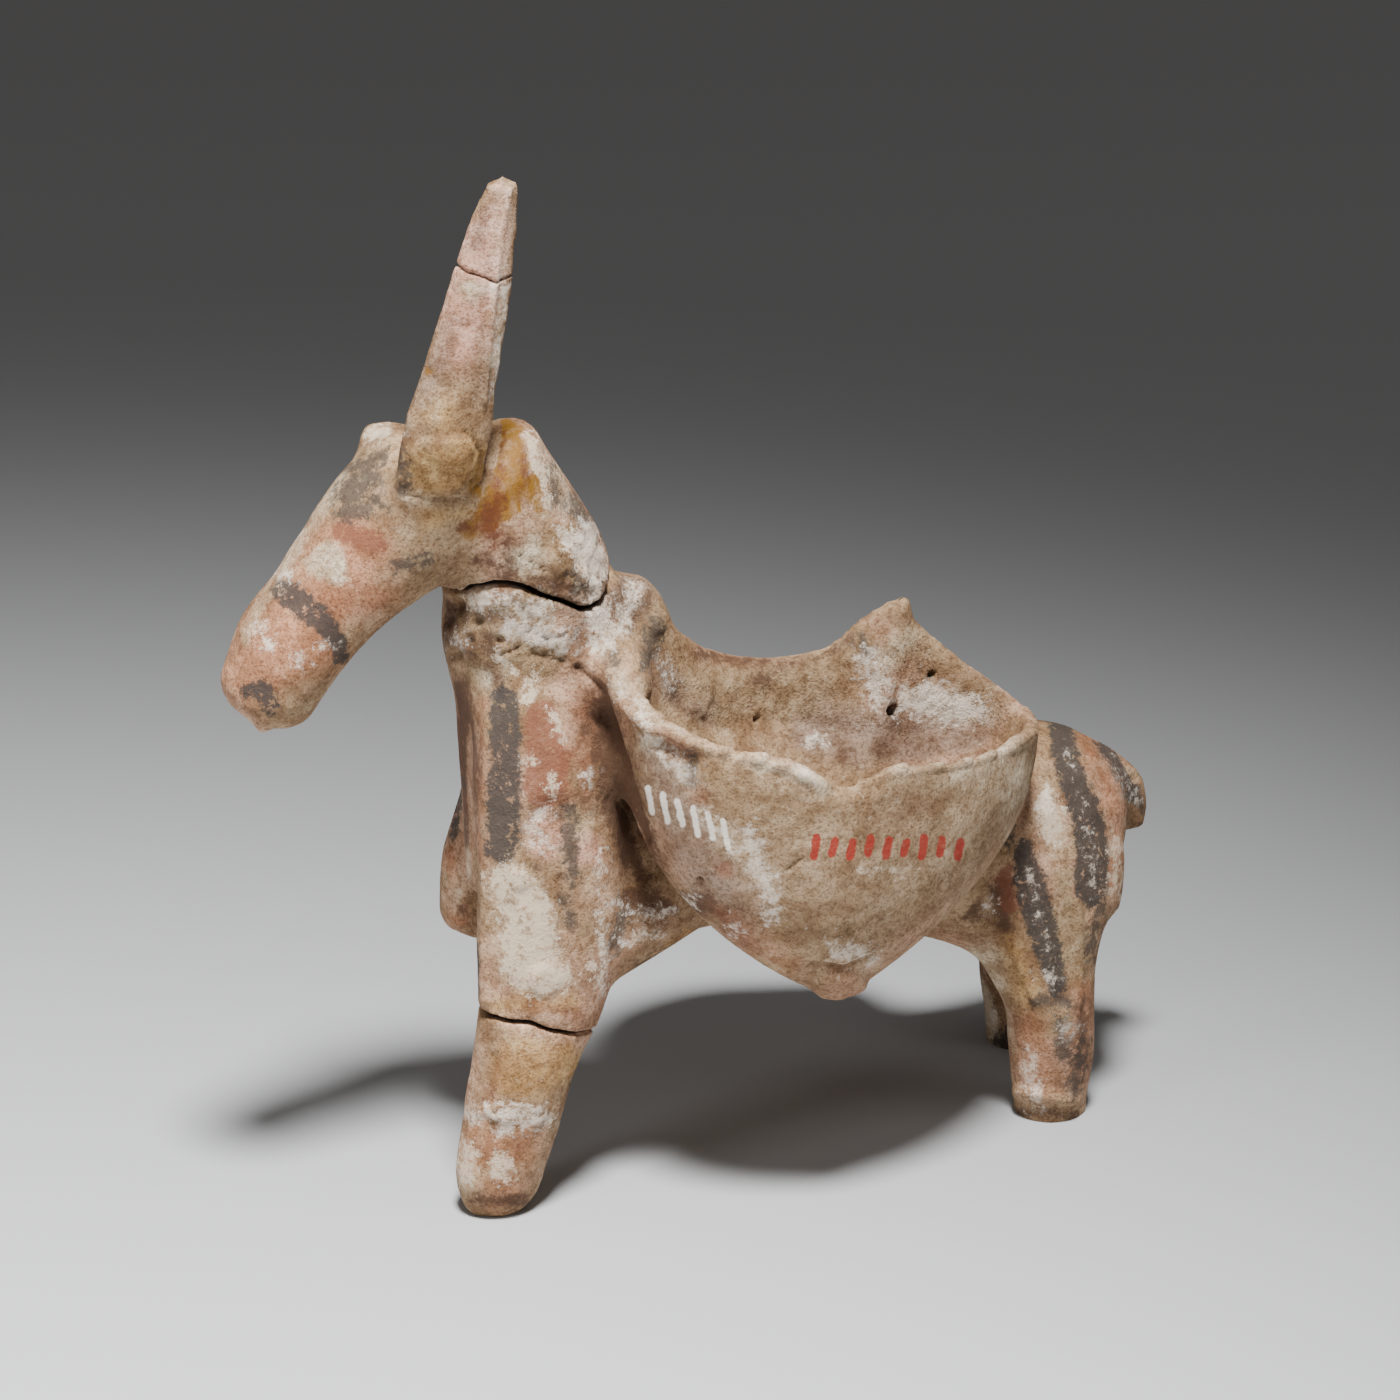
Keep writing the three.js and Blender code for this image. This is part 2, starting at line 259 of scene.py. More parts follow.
def gusset(start, end, flank):
    """The clay smeared between the belly and a leg, as a short round roll."""
    return roll([(x, flank * y, z, radius, radius) for x, y, z, radius in (start, end)])


clay = [
    roll(TRUNK, domes=(4, 13)),
    roll(NECK, domes=(3, 4)),
    roll(HEAD, domes=(5, 4.6)),
    roll(EAR, side=ALONG_X, domes=(3, 2)),
    roll(LOST_EAR, side=ALONG_X, domes=(2, 1)),
    roll(LEFT_FORELEG, side=ALONG_X, domes=(3, 8)),
    roll(RIGHT_FORELEG, side=ALONG_X, domes=(3, 2.4)),
    roll(TAIL, domes=(2, 1.5)),
]
for flank, set_back in ((-1, 0), (1, 5)):
    clay.append(roll(hind_leg(flank, set_back), side=ALONG_X, domes=(3, 1)))
    clay.append(gusset((-29, 9, 34, 6.5), (-10, 5.5, 42.6, 8), flank))
    clay.append(gusset((36, 8, 28.2, 6.5), (22, 4.5, 38.6, 9.5), flank))

# The panniers. Each is a pouch pinched from the same clay, with a wall about 3 mm thick, an uneven
# rim and a rounded point below. They meet in a ridge on the back, joined to a lump at the withers.
WALL = 3.2
LEFT_FLOOR = 8.0
RIGHT_FLOOR = 4.0
PANNIER_FOOT = 29.5
LEFT_FOOT = (3.3, -25, PANNIER_FOOT)
RIGHT_FOOT = (5, 19.5, PANNIER_FOOT + 2)
BELLY_CURVE = 0.85
RING_SPACING = 1.3
SADDLE = [
    (-19, 0, 64, 5, 9),
    (-6, 0, 58.5, 6, 9),
    (10, 0, 57, 6.5, 8),
    (22, 0, 57, 6, 8),
    (32, 0, 52, 5, 6),
]
WITHERS = [
    (-25, 0, 74, 8, 8),
    (-15.2, -1, 76.2, 7, 7),
]
SHOULDER_JOIN = [
    (-20, -3, 75, 6, 5),
    (-21.5, -10, 74, 5, 4.5),
    (-21.6, -14, 73, 3.6, 3.6),
]
LEFT_RIM = [
    (-23.2, -13, 73.8, 2.6),
    (-22.2, -20.5, 71.8, 2.6),
    (-17.2, -28, 69.2, 2.6),
    (-7, -33, 66.6, 2.7),
    (0.9, -34, 62, 2.8),
    (9, -33, 63, 2.8),
    (18.6, -30.2, 61.8, 2.7),
    (28, -24.4, 60, 2.5),
    (35, -17, 59.2, 2.4),
    (37, -10, 58.8, 2.2),
    (31, -3.4, 63.8, 1.5),
    (25.5, -0.6, 68.8, 1.1),
    (23.8, 0.4, 73.2, 1),
    (17.5, 0.6, 70.6, 1),
    (12, 0.6, 67.1, 1),
    (3, 0.6, 67, 1),
    (-6, 0.6, 69.6, 1),
    (-13, -3, 75, 1.4),
    (-19, -7, 76, 2),
]
RIGHT_RIM = [
    (-16, 12, 58, 2.6),
    (-10, 4, 62, 1.6),
    (4, 1, 62, 1),
    (18, 1, 60, 1),
    (26, 6, 55, 1.6),
    (28, 13, 50, 2.3),
    (24, 20.5, 47.5, 2.4),
    (14, 25, 46.5, 2.5),
    (4, 26.5, 48, 2.6),
    (-6, 24.5, 50.5, 2.6),
    (-14, 19, 54.5, 2.6),
]


def pouch(rim, foot, thick):
    """A pinched pouch: foot + level * (reach - inset) * (1 - d^fullness)^BELLY_CURVE, sinking from
    the rim as d runs from 0 to 1. Outside, lip and inside are one skin, and the lip is half round.
    Each rim row is x, y, z, fullness."""
    around, down, lip = 120, 26, 8
    foot = np.array(foot, float)
    x, y, z, fullness = spline(rim, np.arange(around) * len(rim) / around, closed=True).T
    level = np.stack([x - foot[0], y - foot[1]], -1)
    reach = np.linalg.norm(level, axis=1)
    level = level / reach[:, None]

    def ring(depth, inset, floor, lift):
        """The pouch's outline at a depth, moved in by inset and up by floor and by lift."""
        spread = (reach - inset) * (1 - depth**fullness) ** BELLY_CURVE
        height = z - (z - foot[2] - floor) * depth + lift
        return np.column_stack([foot[:2] + level * spread[:, None], height])

    depths = 1 - (1 - np.arange(down) / down) ** RING_SPACING
    turns = pi * np.arange(1, lip) / lip
    outside = [ring(depth, 0, 0, 0) for depth in depths[::-1]]
    edge = [ring(0, WALL / 2 * (1 - cos(turn)), 0, WALL / 2 * sin(turn)) for turn in turns]
    inside = [ring(depth, WALL, thick, 0) for depth in depths]
    return skin(foot, np.array(outside + edge + inside), foot + (0, 0, thick))


clay += [
    roll(SADDLE, domes=(3, 4)),
    roll(WITHERS, domes=(3, 4.4)),
    roll(SHOULDER_JOIN, side=ALONG_Z, domes=(2, 2)),
    pouch(LEFT_RIM, LEFT_FOOT, LEFT_FLOOR),
    pouch(RIGHT_RIM, RIGHT_FOOT, RIGHT_FLOOR),
]

# Joining the clay. The maker smeared the joins smooth with wet fingers, so the rolls and pouches
# become one skin, and wet clay is laid into the angles between them. The skin is finer where the
# camera sees it.
GRAIN = 0.92
SMEARS = 26
WET = 0.9
DRY = 0.1
EVENED_EVERY = 8
PULLED_IN = 0.5
PUSHED_OUT = 0.52
FAR = 99
UNDER_PANNIER = ((-27, -FAR, 36), (2, -11, 71))
BELOW_EAR = ((-52, -FAR, 92), (-33, -1, 110))
NEAR_CELL = 9
TURNED_AWAY = -0.3
BEHIND_SURFACE = 3.2
STEP_SMOOTHING = 0.6


def mesh_of(name, points, faces):
    """A mesh in metres in the frame: (points - MIDDLE) * MM."""
    mesh = bpy.data.meshes.new(name)
    mesh.from_pydata((points - MIDDLE) * MM, [], faces)
    return mesh


def arrays_of(mesh):
    """A mesh's points, back in mm as points / MM + MIDDLE, and its triangles."""
    points = np.empty(len(mesh.vertices) * 3)
    mesh.vertices.foreach_get("co", points)
    mesh.calc_loop_triangles()
    faces = np.empty(len(mesh.loop_triangles) * 3, np.int32)
    mesh.loop_triangles.foreach_get("vertices", faces)
    return points.reshape(-1, 3) / MM + MIDDLE, faces.reshape(-1, 3)


def edges_of(faces):
    """Each triangle's three sides, with a side that two triangles share listed once."""
    pairs = np.concatenate([faces[:, [0, 1]], faces[:, [1, 2]], faces[:, [2, 0]]])
    return np.unique(np.sort(pairs, axis=1), axis=0)


def normals_of(points, faces):
    """Each point's outward direction: the sum of its faces' cross products, made one long."""
    a, b, c = points[faces[:, 0]], points[faces[:, 1]], points[faces[:, 2]]
    face_normal = np.cross(b - a, c - a)
    normal = np.zeros_like(points)
    for corner in range(3):
        for axis in range(3):
            normal[:, axis] += np.bincount(faces[:, corner], face_normal[:, axis], len(points))
    return normal / np.maximum(np.linalg.norm(normal, axis=1, keepdims=True), 1e-9)


def pull_to_neighbours(values, edges):
    """The mean of each point's neighbours less its own value."""
    count = len(values)
    ends = np.concatenate([edges[:, 0], edges[:, 1]])
    others = np.concatenate([edges[:, 1], edges[:, 0]])
    number = np.maximum(np.bincount(ends, minlength=count), 1)
    columns = values.reshape(count, -1)
    sums = [np.bincount(ends, column[others], count) for column in columns.T]
    return (np.stack(sums, -1) / number[:, None] - columns).reshape(values.shape)


def inside(points, low, high):
    """True where a point lies between the two corners of a box, in mm."""
    return ((points > low) & (points < high)).all(axis=1)


starts = np.cumsum([0] + [len(points) for points, _ in clay])
all_points = np.concatenate([points for points, _ in clay])
all_faces = np.concatenate([faces + start for (_, faces), start in zip(clay, starts)])
rough = bpy.data.objects.new("rough", mesh_of("rough", all_points, all_faces))
bpy.context.scene.collection.objects.link(rough)
joining = rough.modifiers.new("joining", "REMESH")
joining.mode = "VOXEL"
joining.voxel_size = GRAIN * MM
joined = bpy.data.meshes.new_from_object(rough.evaluated_get(bpy.context.evaluated_depsgraph_get()))
bpy.data.objects.remove(rough)

points, faces = arrays_of(joined)
edges = edges_of(faces)
under_pannier = inside(points, *UNDER_PANNIER)
below_ear = inside(points, *BELOW_EAR)
for smear in range(SMEARS * 2):
    normal = normals_of(points, faces)
    outward = (pull_to_neighbours(points, edges) * normal).sum(axis=1, keepdims=True)
    wetness = np.where(under_pannier, DRY, WET) * (below_ear | (smear < SMEARS))
    points += normal * np.maximum(outward, 0) * wetness[:, None]
    if smear % EVENED_EVERY == 0:
        points += PULLED_IN * pull_to_neighbours(points, edges)
        points -= PUSHED_OUT * pull_to_neighbours(points, edges)


def seen_by_camera(points, normal, cell):
    """True where a point faces the camera and is nearest to it in its cell of so many pixels."""
    place = np.floor(picture_place(points) / cell).astype(int)
    key = place[:, 1] * PICTURE + place[:, 0]
    depth = CAMERA_DISTANCE - (points - LOOK_AT) @ TO_CAMERA
    facing = normal @ TO_CAMERA
    cells, index = np.unique(key, return_inverse=True)
    nearest = np.full(len(cells), 1e9)
    np.minimum.at(nearest, index[facing > 0], depth[facing > 0])
    return (facing > TURNED_AWAY) & (depth < nearest[index] + BEHIND_SURFACE)


def subdivided(points, faces, chosen):
    """Halves every edge whose two ends are chosen."""
    work = mesh_of("work", points, faces)
    fine = bmesh.new()
    fine.from_mesh(work)
    halved = [edge for edge in fine.edges if all(chosen[end.index] for end in edge.verts)]
    bmesh.ops.subdivide_edges(fine, edges=halved, cuts=1, use_grid_fill=True)
    bmesh.ops.triangulate(fine, faces=fine.faces)
    fine.to_mesh(work)
    fine.free()
    result = arrays_of(work)
    bpy.data.meshes.remove(work)
    return result


near_side = seen_by_camera(points, normals_of(points, faces), NEAR_CELL)
points, faces = subdivided(points, faces, near_side)
points += STEP_SMOOTHING * pull_to_neighbours(points, edges_of(faces))

# The mended breaks. The neck, the left foreleg and the ear's tip were snapped off and glued back;
# each break is a wavering gap, chipped along its edges, and painted shade darkens it, more where
# it is deeper. Lines are x, z in mm.
NECK_BREAK = [
    (-44, 83.6), (-41, 85.9), (-37.5, 87.6), (-34, 87.4), (-30, 85.4), (-26, 83.2), (-22, 83.4),
    (-19, 86),
]
LEG_BREAK = [(-44, 28.8), (-40, 29.6), (-36, 28.8), (-31, 27), (-26, 25)]
EAR_BREAK = [(-46, 134.6), (-42, 132.4), (-38, 130.2), (-34, 130.6)]
# Each row is a break's line, the corners of the box it lies in, and its gap's depth and half width.
BREAKS = [
    (NECK_BREAK, (-43, -FAR, 77), (-17, FAR, 93), 1.9, 0.42),
    (LEG_BREAK, (-FAR, -FAR, 21.5), (-24, -3, 33.5), 1.5, 0.3),
    (EAR_BREAK, (-FAR, -FAR, 125), (-30, FAR, 139), 0.6, 0.22),
]
WAVER = 0.5
WAVER_SIZE = 3.0
FINE_BESIDE_BREAK = 0.9


def grain(points, size, seed):
    """Value noise from -1 to 1: a random lattice, size mm apart, blended by 3f2 - 2f3."""
    cells = 32
    shift = 500
    lattice = np.random.default_rng(seed).uniform(-1, 1, (cells, cells, cells))
    place = points / size + shift
    corner = np.floor(place).astype(int)
    part = place - corner
    part = part * part * (3 - 2 * part)
    value = np.zeros(len(points))
    for offset in np.ndindex(2, 2, 2):
        weight = np.prod(np.where(np.array(offset) == 1, part, 1 - part), axis=1)
        value += weight * lattice[tuple(((corner + offset) % cells).T)]
    return value


def above_break(points, line):
    """How far above a break's line a point lies, in mm, with the line read off by its x."""
    xs, zs = np.array(line).T
    return points[:, 2] - np.interp(points[:, 0], xs, zs) + WAVER * grain(points, WAVER_SIZE, 5)


def breaks_at(points):
    """The height above each break, and FAR where the break doesn't reach."""
    return np.array([
        np.where(inside(points, low, high), above_break(points, line), FAR)
        for line, low, high, _, _ in BREAKS
    ])


beside_break = np.abs(breaks_at(points)).min(axis=0) < FINE_BESIDE_BREAK
points, faces = subdivided(points, faces, beside_break)
edges = edges_of(faces)
normal = normals_of(points, faces)
gap = sum(
    deep * np.exp(-(height / half_width) ** 2)
    for height, (_, _, _, deep, half_width) in zip(breaks_at(points), BREAKS)
)
points -= normal * gap[:, None]

# The surface. Fingers left dents and ridges, the clay has pits and grit, and the ground left crust.
# Strokes are picture x, y and radius in pixels, on what the camera sees there. On the border of
# what it sees they are evened out, so that they fade instead of stopping short.
PIXEL = CAMERA_DISTANCE / (LENS / SENSOR * PICTURE)
STROKE_CELL = 5
BORDER_ROUNDS = 8
BORDER_SHARE = 0.9
BORDER_LEAST = 0.05
FADE_SHARE = 0.8
PAINT_FADE_ROUNDS = 6
RELIEF_FADE_ROUNDS = 12
OUTSIDE = -9.0
FAR_OUTSIDE = -99.0


def evened(values, share, rounds, where=1.0):
    """Values moved a share of the way to their neighbours' mean, in rounds, only where asked."""
    for turn in range(rounds):
        values = values + share * pull_to_neighbours(values, edges) * where
    return values


NEAR_SIDE = seen_by_camera(points, normal, STROKE_CELL)
ON_PICTURE = picture_place(points[NEAR_SIDE])
nearness = evened(NEAR_SIDE.astype(float), BORDER_SHARE, BORDER_ROUNDS)
BORDER = (nearness > BORDER_LEAST) & (nearness < 1 - BORDER_LEAST)


def stroke_depth(places, strokes):
    """How deep a place lies inside the strokes: radius less distance, the largest of them all.

    A stroke is a chain of circles; between two circles the radius changes evenly.
    """
    depth = np.full(len(places), FAR_OUTSIDE)
    for stroke in strokes:
        chain = np.array(stroke, float)
        pairs = zip(chain[:-1], chain[1:]) if len(chain) > 1 else [(chain[0], chain[0])]
        for start, end in pairs:
            run = end[:2] - start[:2]
            part = ((places - start[:2]) @ run) / max(run @ run, 1e-6)
            part = np.clip(part, 0, 1)[:, None]
            away = np.linalg.norm(places - start[:2] - part * run, axis=1)
            radius = start[2] + (end[2] - start[2]) * part[:, 0]
            depth = np.maximum(depth, radius - away)
    return depth


def brushed(strokes, far_strokes=()):
    """Depth in mm inside strokes on the near side, and inside x, z strokes on the far side."""
    depth = np.full(len(points), OUTSIDE)
    depth[NEAR_SIDE] = np.maximum(stroke_depth(ON_PICTURE, strokes) * PIXEL, OUTSIDE)
    if far_strokes:
        far = ~NEAR_SIDE
        depth[far] = np.maximum(stroke_depth(points[far][:, [0, 2]], far_strokes), OUTSIDE)
    return evened(depth, FADE_SHARE, PAINT_FADE_ROUNDS, BORDER)


def eased(depth, soft):
    """From 0 to 1 over a soft edge, by 3f2 - 2f3."""
    f = np.clip(0.5 + depth / soft, 0, 1)
    return f * f * (3 - 2 * f)


# Each row is a height, or a depth where it is pressed in, how soft its edge is, both in mm, and
# its strokes.
RAISED = [
    (0.4, 1.0, [[(440, 410, 20), (448, 440, 24)]]),
    (0.7, 1.0, [[(510, 188, 1), (499, 255, 1), (490, 330, 2), (484, 400, 2)]]),
    (0.6, 0.5, [[(425, 452, 14), (456, 455, 20), (448, 474, 18)]]),
    (0.9, 2.0, [[(262, 728, 8)]]),
    (0.6, 0.8, [[(577, 577, 10)]]),
    (1.0, 2.2, [[(489, 700, 4), (487, 830, 4), (485, 1000, 3)]]),
    (0.7, 1.4, [[(560, 560, 14)], [(610, 590, 14), (636, 594, 12)], [(655, 625, 9)]]),
    (0.8, 1.6, [[(700, 690, 10), (690, 720, 10)], [(868, 640, 6), (888, 700, 6)]]),
    (0.4, 1.2, [[(520, 880, 10)], [(545, 980, 16)]]),
    (1.0, 1.4, [[(826, 984, 12), (852, 986, 14)]]),
    (0.9, 1.2, [
        [(625, 706, 4), (650, 728, 5), (690, 744, 5), (735, 752, 5), (790, 768, 5), (822, 786, 4)],
    ]),
    (0.8, 1.2, [[(858, 784, 4), (900, 770, 5), (960, 762, 5), (1010, 746, 5), (1032, 734, 4)]]),
    (0.7, 1.6, [[(1020, 1092, 5), (1072, 1100, 5)]]),
    (0.6, 1.2, [[(1005, 930, 3), (1035, 1000, 3)], [(1078, 900, 3), (1080, 1000, 3)]]),
    (0.7, 1.0, [[(445, 590, 6)], [(462, 592, 5)]]),
]
PRESSED = [
    (0.5, 0.8, [[(400, 494, 1), (430, 499, 1), (462, 499, 1), (486, 480, 1)]]),
    (0.6, 0.5, [[(462, 430, 1), (474, 440, 1), (484, 458, 1), (478, 478, 1), (456, 492, 1)]]),
    (0.4, 1.2, [[(403, 487, 4)], [(372, 503, 5)]]),
    (0.4, 2.0, [[(497, 200, 6), (480, 250, 7)], [(462, 330, 8), (448, 390, 8)]]),
    (1.6, 0.8, [[(894, 711, 5)], [(933, 675, 3)], [(757, 719, 2)], [(699, 881, 3)]]),
    (0.7, 0.8, [[(812, 964, 2), (845, 968, 2), (876, 955, 2)]]),
    (0.6, 0.6, [
        [(787, 871, 1), (800, 860, 1)], [(943, 875, 1), (941, 892, 1)],
        [(848, 927, 1), (852, 938, 1)],
    ]),
    (1.1, 1.4, [[(838, 778, 5), (837, 792, 2)]]),
    (0.8, 1.2, [
        [(455, 608, 7)], [(447, 620, 6)], [(478, 622, 5)], [(470, 640, 5)], [(455, 655, 6)],
    ]),
    (0.7, 1.4, [[(694, 752, 3), (690, 790, 3)], [(662, 742, 8), (680, 752, 6)]]),
    (0.7, 1.6, [[(562, 880, 3), (566, 930, 3)]]),
    (0.8, 1.2, [[(578, 668, 3), (600, 690, 4), (622, 760, 4), (645, 840, 4)]]),
    (0.8, 1.0, [[(1118, 742, 2), (1135, 780, 2)]]),
    (0.6, 1.0, [[(533, 655, 3), (565, 662, 3)], [(500, 640, 3)], [(530, 590, 4)]]),
    (0.5, 0.5, [
        [(556, 548, 1), (566, 572, 1), (582, 586, 1)], [(520, 556, 1), (548, 570, 1)],
        [(520, 628, 1), (548, 640, 1), (566, 632, 1)],
    ]),
    (0.6, 0.5, [
        [(588, 566, 1), (602, 584, 1), (600, 600, 1)], [(500, 655, 1), (520, 648, 1)],
        [(606, 700, 1), (616, 740, 1), (634, 790, 1)],
    ]),
    (0.5, 1.6, [[(495, 1060, 6), (490, 1100, 5)], [(1052, 900, 4), (1062, 1000, 4)]]),
]
CRUSTED = [
    [(470, 600, 6), (505, 601, 6), (540, 610, 9)], [(515, 630, 10), (560, 640, 12)],
    [(598, 605, 10), (600, 640, 12)], [(632, 590, 6), (622, 625, 8)],
    [(588, 548, 12), (590, 580, 9)], [(470, 1116, 4), (500, 1112, 7), (540, 1118, 4)],
    [(496, 286, 5)], [(930, 700, 16)], [(885, 690, 8)], [(815, 738, 5)], [(805, 775, 4)],
    [(460, 640, 6)], [(650, 915, 3)],
]
WEATHERED = [
    [(455, 600, 22), (520, 620, 36), (600, 610, 32), (650, 620, 16)], [(590, 550, 22)],
    [(520, 560, 14)], [(480, 650, 20), (560, 655, 24)],
    [(690, 700, 20), (760, 700, 20), (900, 690, 46), (980, 700, 26)],
    [(470, 1118, 8), (540, 1122, 8)], [(545, 820, 20), (600, 800, 16)], [(640, 925, 16)],
]
# How rough the skin is: on the near side between the least and the most, on the far side even.
LEAST_ROUGH = 0.3
MORE_ROUGH = 1.1
ROUGH_EDGE = 3.0
FAR_ROUGH = 0.45
TAIL_END = 34.5
LOST_EAR_END = 104.5
PEAK_END = 72.5
BROKEN_REACH = 2.5
BROKEN_EDGE = 2
# Each row is a broken end's z, whether all above it is broken too, its low and high x and y, and
# how rough it is.
BROKEN_ENDS = [
    (STUMP_END, False, (-FAR, 2), (-20, FAR), 1.0),
    (TAIL_END, False, (52, -FAR), (FAR, FAR), 1.0),
    (LOST_EAR_END, True, (-FAR, 0), (-44, FAR), 0.5),
    (PEAK_END, True, (15, -FAR), (30, FAR), 1.0),
]
# Each row is a lump's size, its height on the skin and on a broken end in mm, and its seed.
LUMPS = [(8.0, 0.34, 0.2, 11), (3.6, 0.26, 0.4, 12), (1.7, 0.18, 0.25, 13), (0.9, 0.09, 0.0, 14)]
CRUST_THICK, CRUST_UNEVEN, CRUST_SIZE, CRUST_EDGE = 0.14, 0.26, 1.3, 1.0
PIT_DEPTH, PIT_SIZE, PIT_RARE = 1.2, 2.2, 0.72
CHIP_DEPTH = 0.4
CHIPS = [(4.5, 0.0, 17), (1.8, 0.2, 18)]
SHARP = 0.05
SOFTENED = 0.6
SHARP_ROUNDS = 4

rise = sum(amount * eased(brushed(strokes), soft) for amount, soft, strokes in RAISED)
rise = rise - sum(amount * eased(brushed(strokes), soft) for amount, soft, strokes in PRESSED)
crust = brushed(CRUSTED)
worn_there = LEAST_ROUGH + MORE_ROUGH * eased(brushed(WEATHERED), ROUGH_EDGE)
weathered = np.where(NEAR_SIDE, worn_there, FAR_ROUGH)
broken = np.zeros(len(points))
for end, and_above, low, high, rough in BROKEN_ENDS:
    height = points[:, 2] - end
    past = height if and_above else BROKEN_REACH - np.abs(height)
    broken += eased(past, BROKEN_EDGE) * inside(points[:, :2], low, high) * rough
for size, on_skin, on_broken_end, seed in LUMPS:
    rise += (on_skin * weathered + on_broken_end * broken) * grain(points, size, seed)
rise += eased(crust, CRUST_EDGE) * (CRUST_THICK + CRUST_UNEVEN * grain(points, CRUST_SIZE, 15))
rise -= PIT_DEPTH * weathered * np.maximum(grain(points, PIT_SIZE, 16) - PIT_RARE, 0)
sharp = -(pull_to_neighbours(points, edges) * normal).sum(axis=1)
sharp = evened(sharp, SOFTENED, SHARP_ROUNDS)
sharp = np.clip(sharp / SHARP, 0, 1)
rise -= sharp * sum(
    CHIP_DEPTH * np.maximum(grain(points, size, seed) - rare, 0) for size, rare, seed in CHIPS
)
rise = evened(rise, FADE_SHARE, RELIEF_FADE_ROUNDS, BORDER)
points += normal * rise[:, None]
lowest, highest = [np.array(corner) / MM + MIDDLE for corner in cad_box]
points = np.clip(points, lowest, highest)

mesh = mesh_of("donkey_clay", points, faces)
mesh.shade_smooth()
donkey = bpy.data.objects.new("donkey_clay", mesh)
bpy.context.scene.collection.objects.link(donkey)


def keep(name, values):
    """Stores a number for each point in the mesh, for the finish to read by its name."""
    mesh.attributes.new(name, "FLOAT", "POINT").data.foreach_set("value", values.astype(np.float32))


def shade(red, green, blue):
    """A colour from its picture values v, 0 to 255, made linear for the shader: v / 12.92 where it
    is dark and ((v + 0.055) / 1.055)^2.4 elsewhere, with v first divided by 255."""
    level = np.array([red, green, blue]) / 255
    return np.where(level < 0.04, level / 12.92, ((level + 0.055) / 1.055) ** 2.4)


# The ground colours. The fired clay is buff to brown; over it lie thin pink and cream washes and
# the brown of old glue. They run into each other and have no edges. Some washes are painted light
# and shade: painted highlights along the head's upper edge and on the ear's right side, painted
# shade behind the pannier's front edge, down the chest's side and in the pannier's inside, and a
# cream wash that paints the far hind leg lighter.
BUFF = shade(178, 151, 118)
CREAM = shade(216, 200, 174)
ROSE = shade(230, 184, 164)
SALMON = shade(188, 136, 104)
MAUVE = shade(151, 129, 114)
OCHRE = shade(196, 160, 108)
DUN = shade(170, 147, 116)
RUST = shade(146, 96, 70)
SAND = shade(178, 154, 124)
UMBER = shade(132, 98, 72)
# A pink paler than any clay, used for the painted highlight on the ear.
EAR_HIGHLIGHT = shade(246, 210, 192)
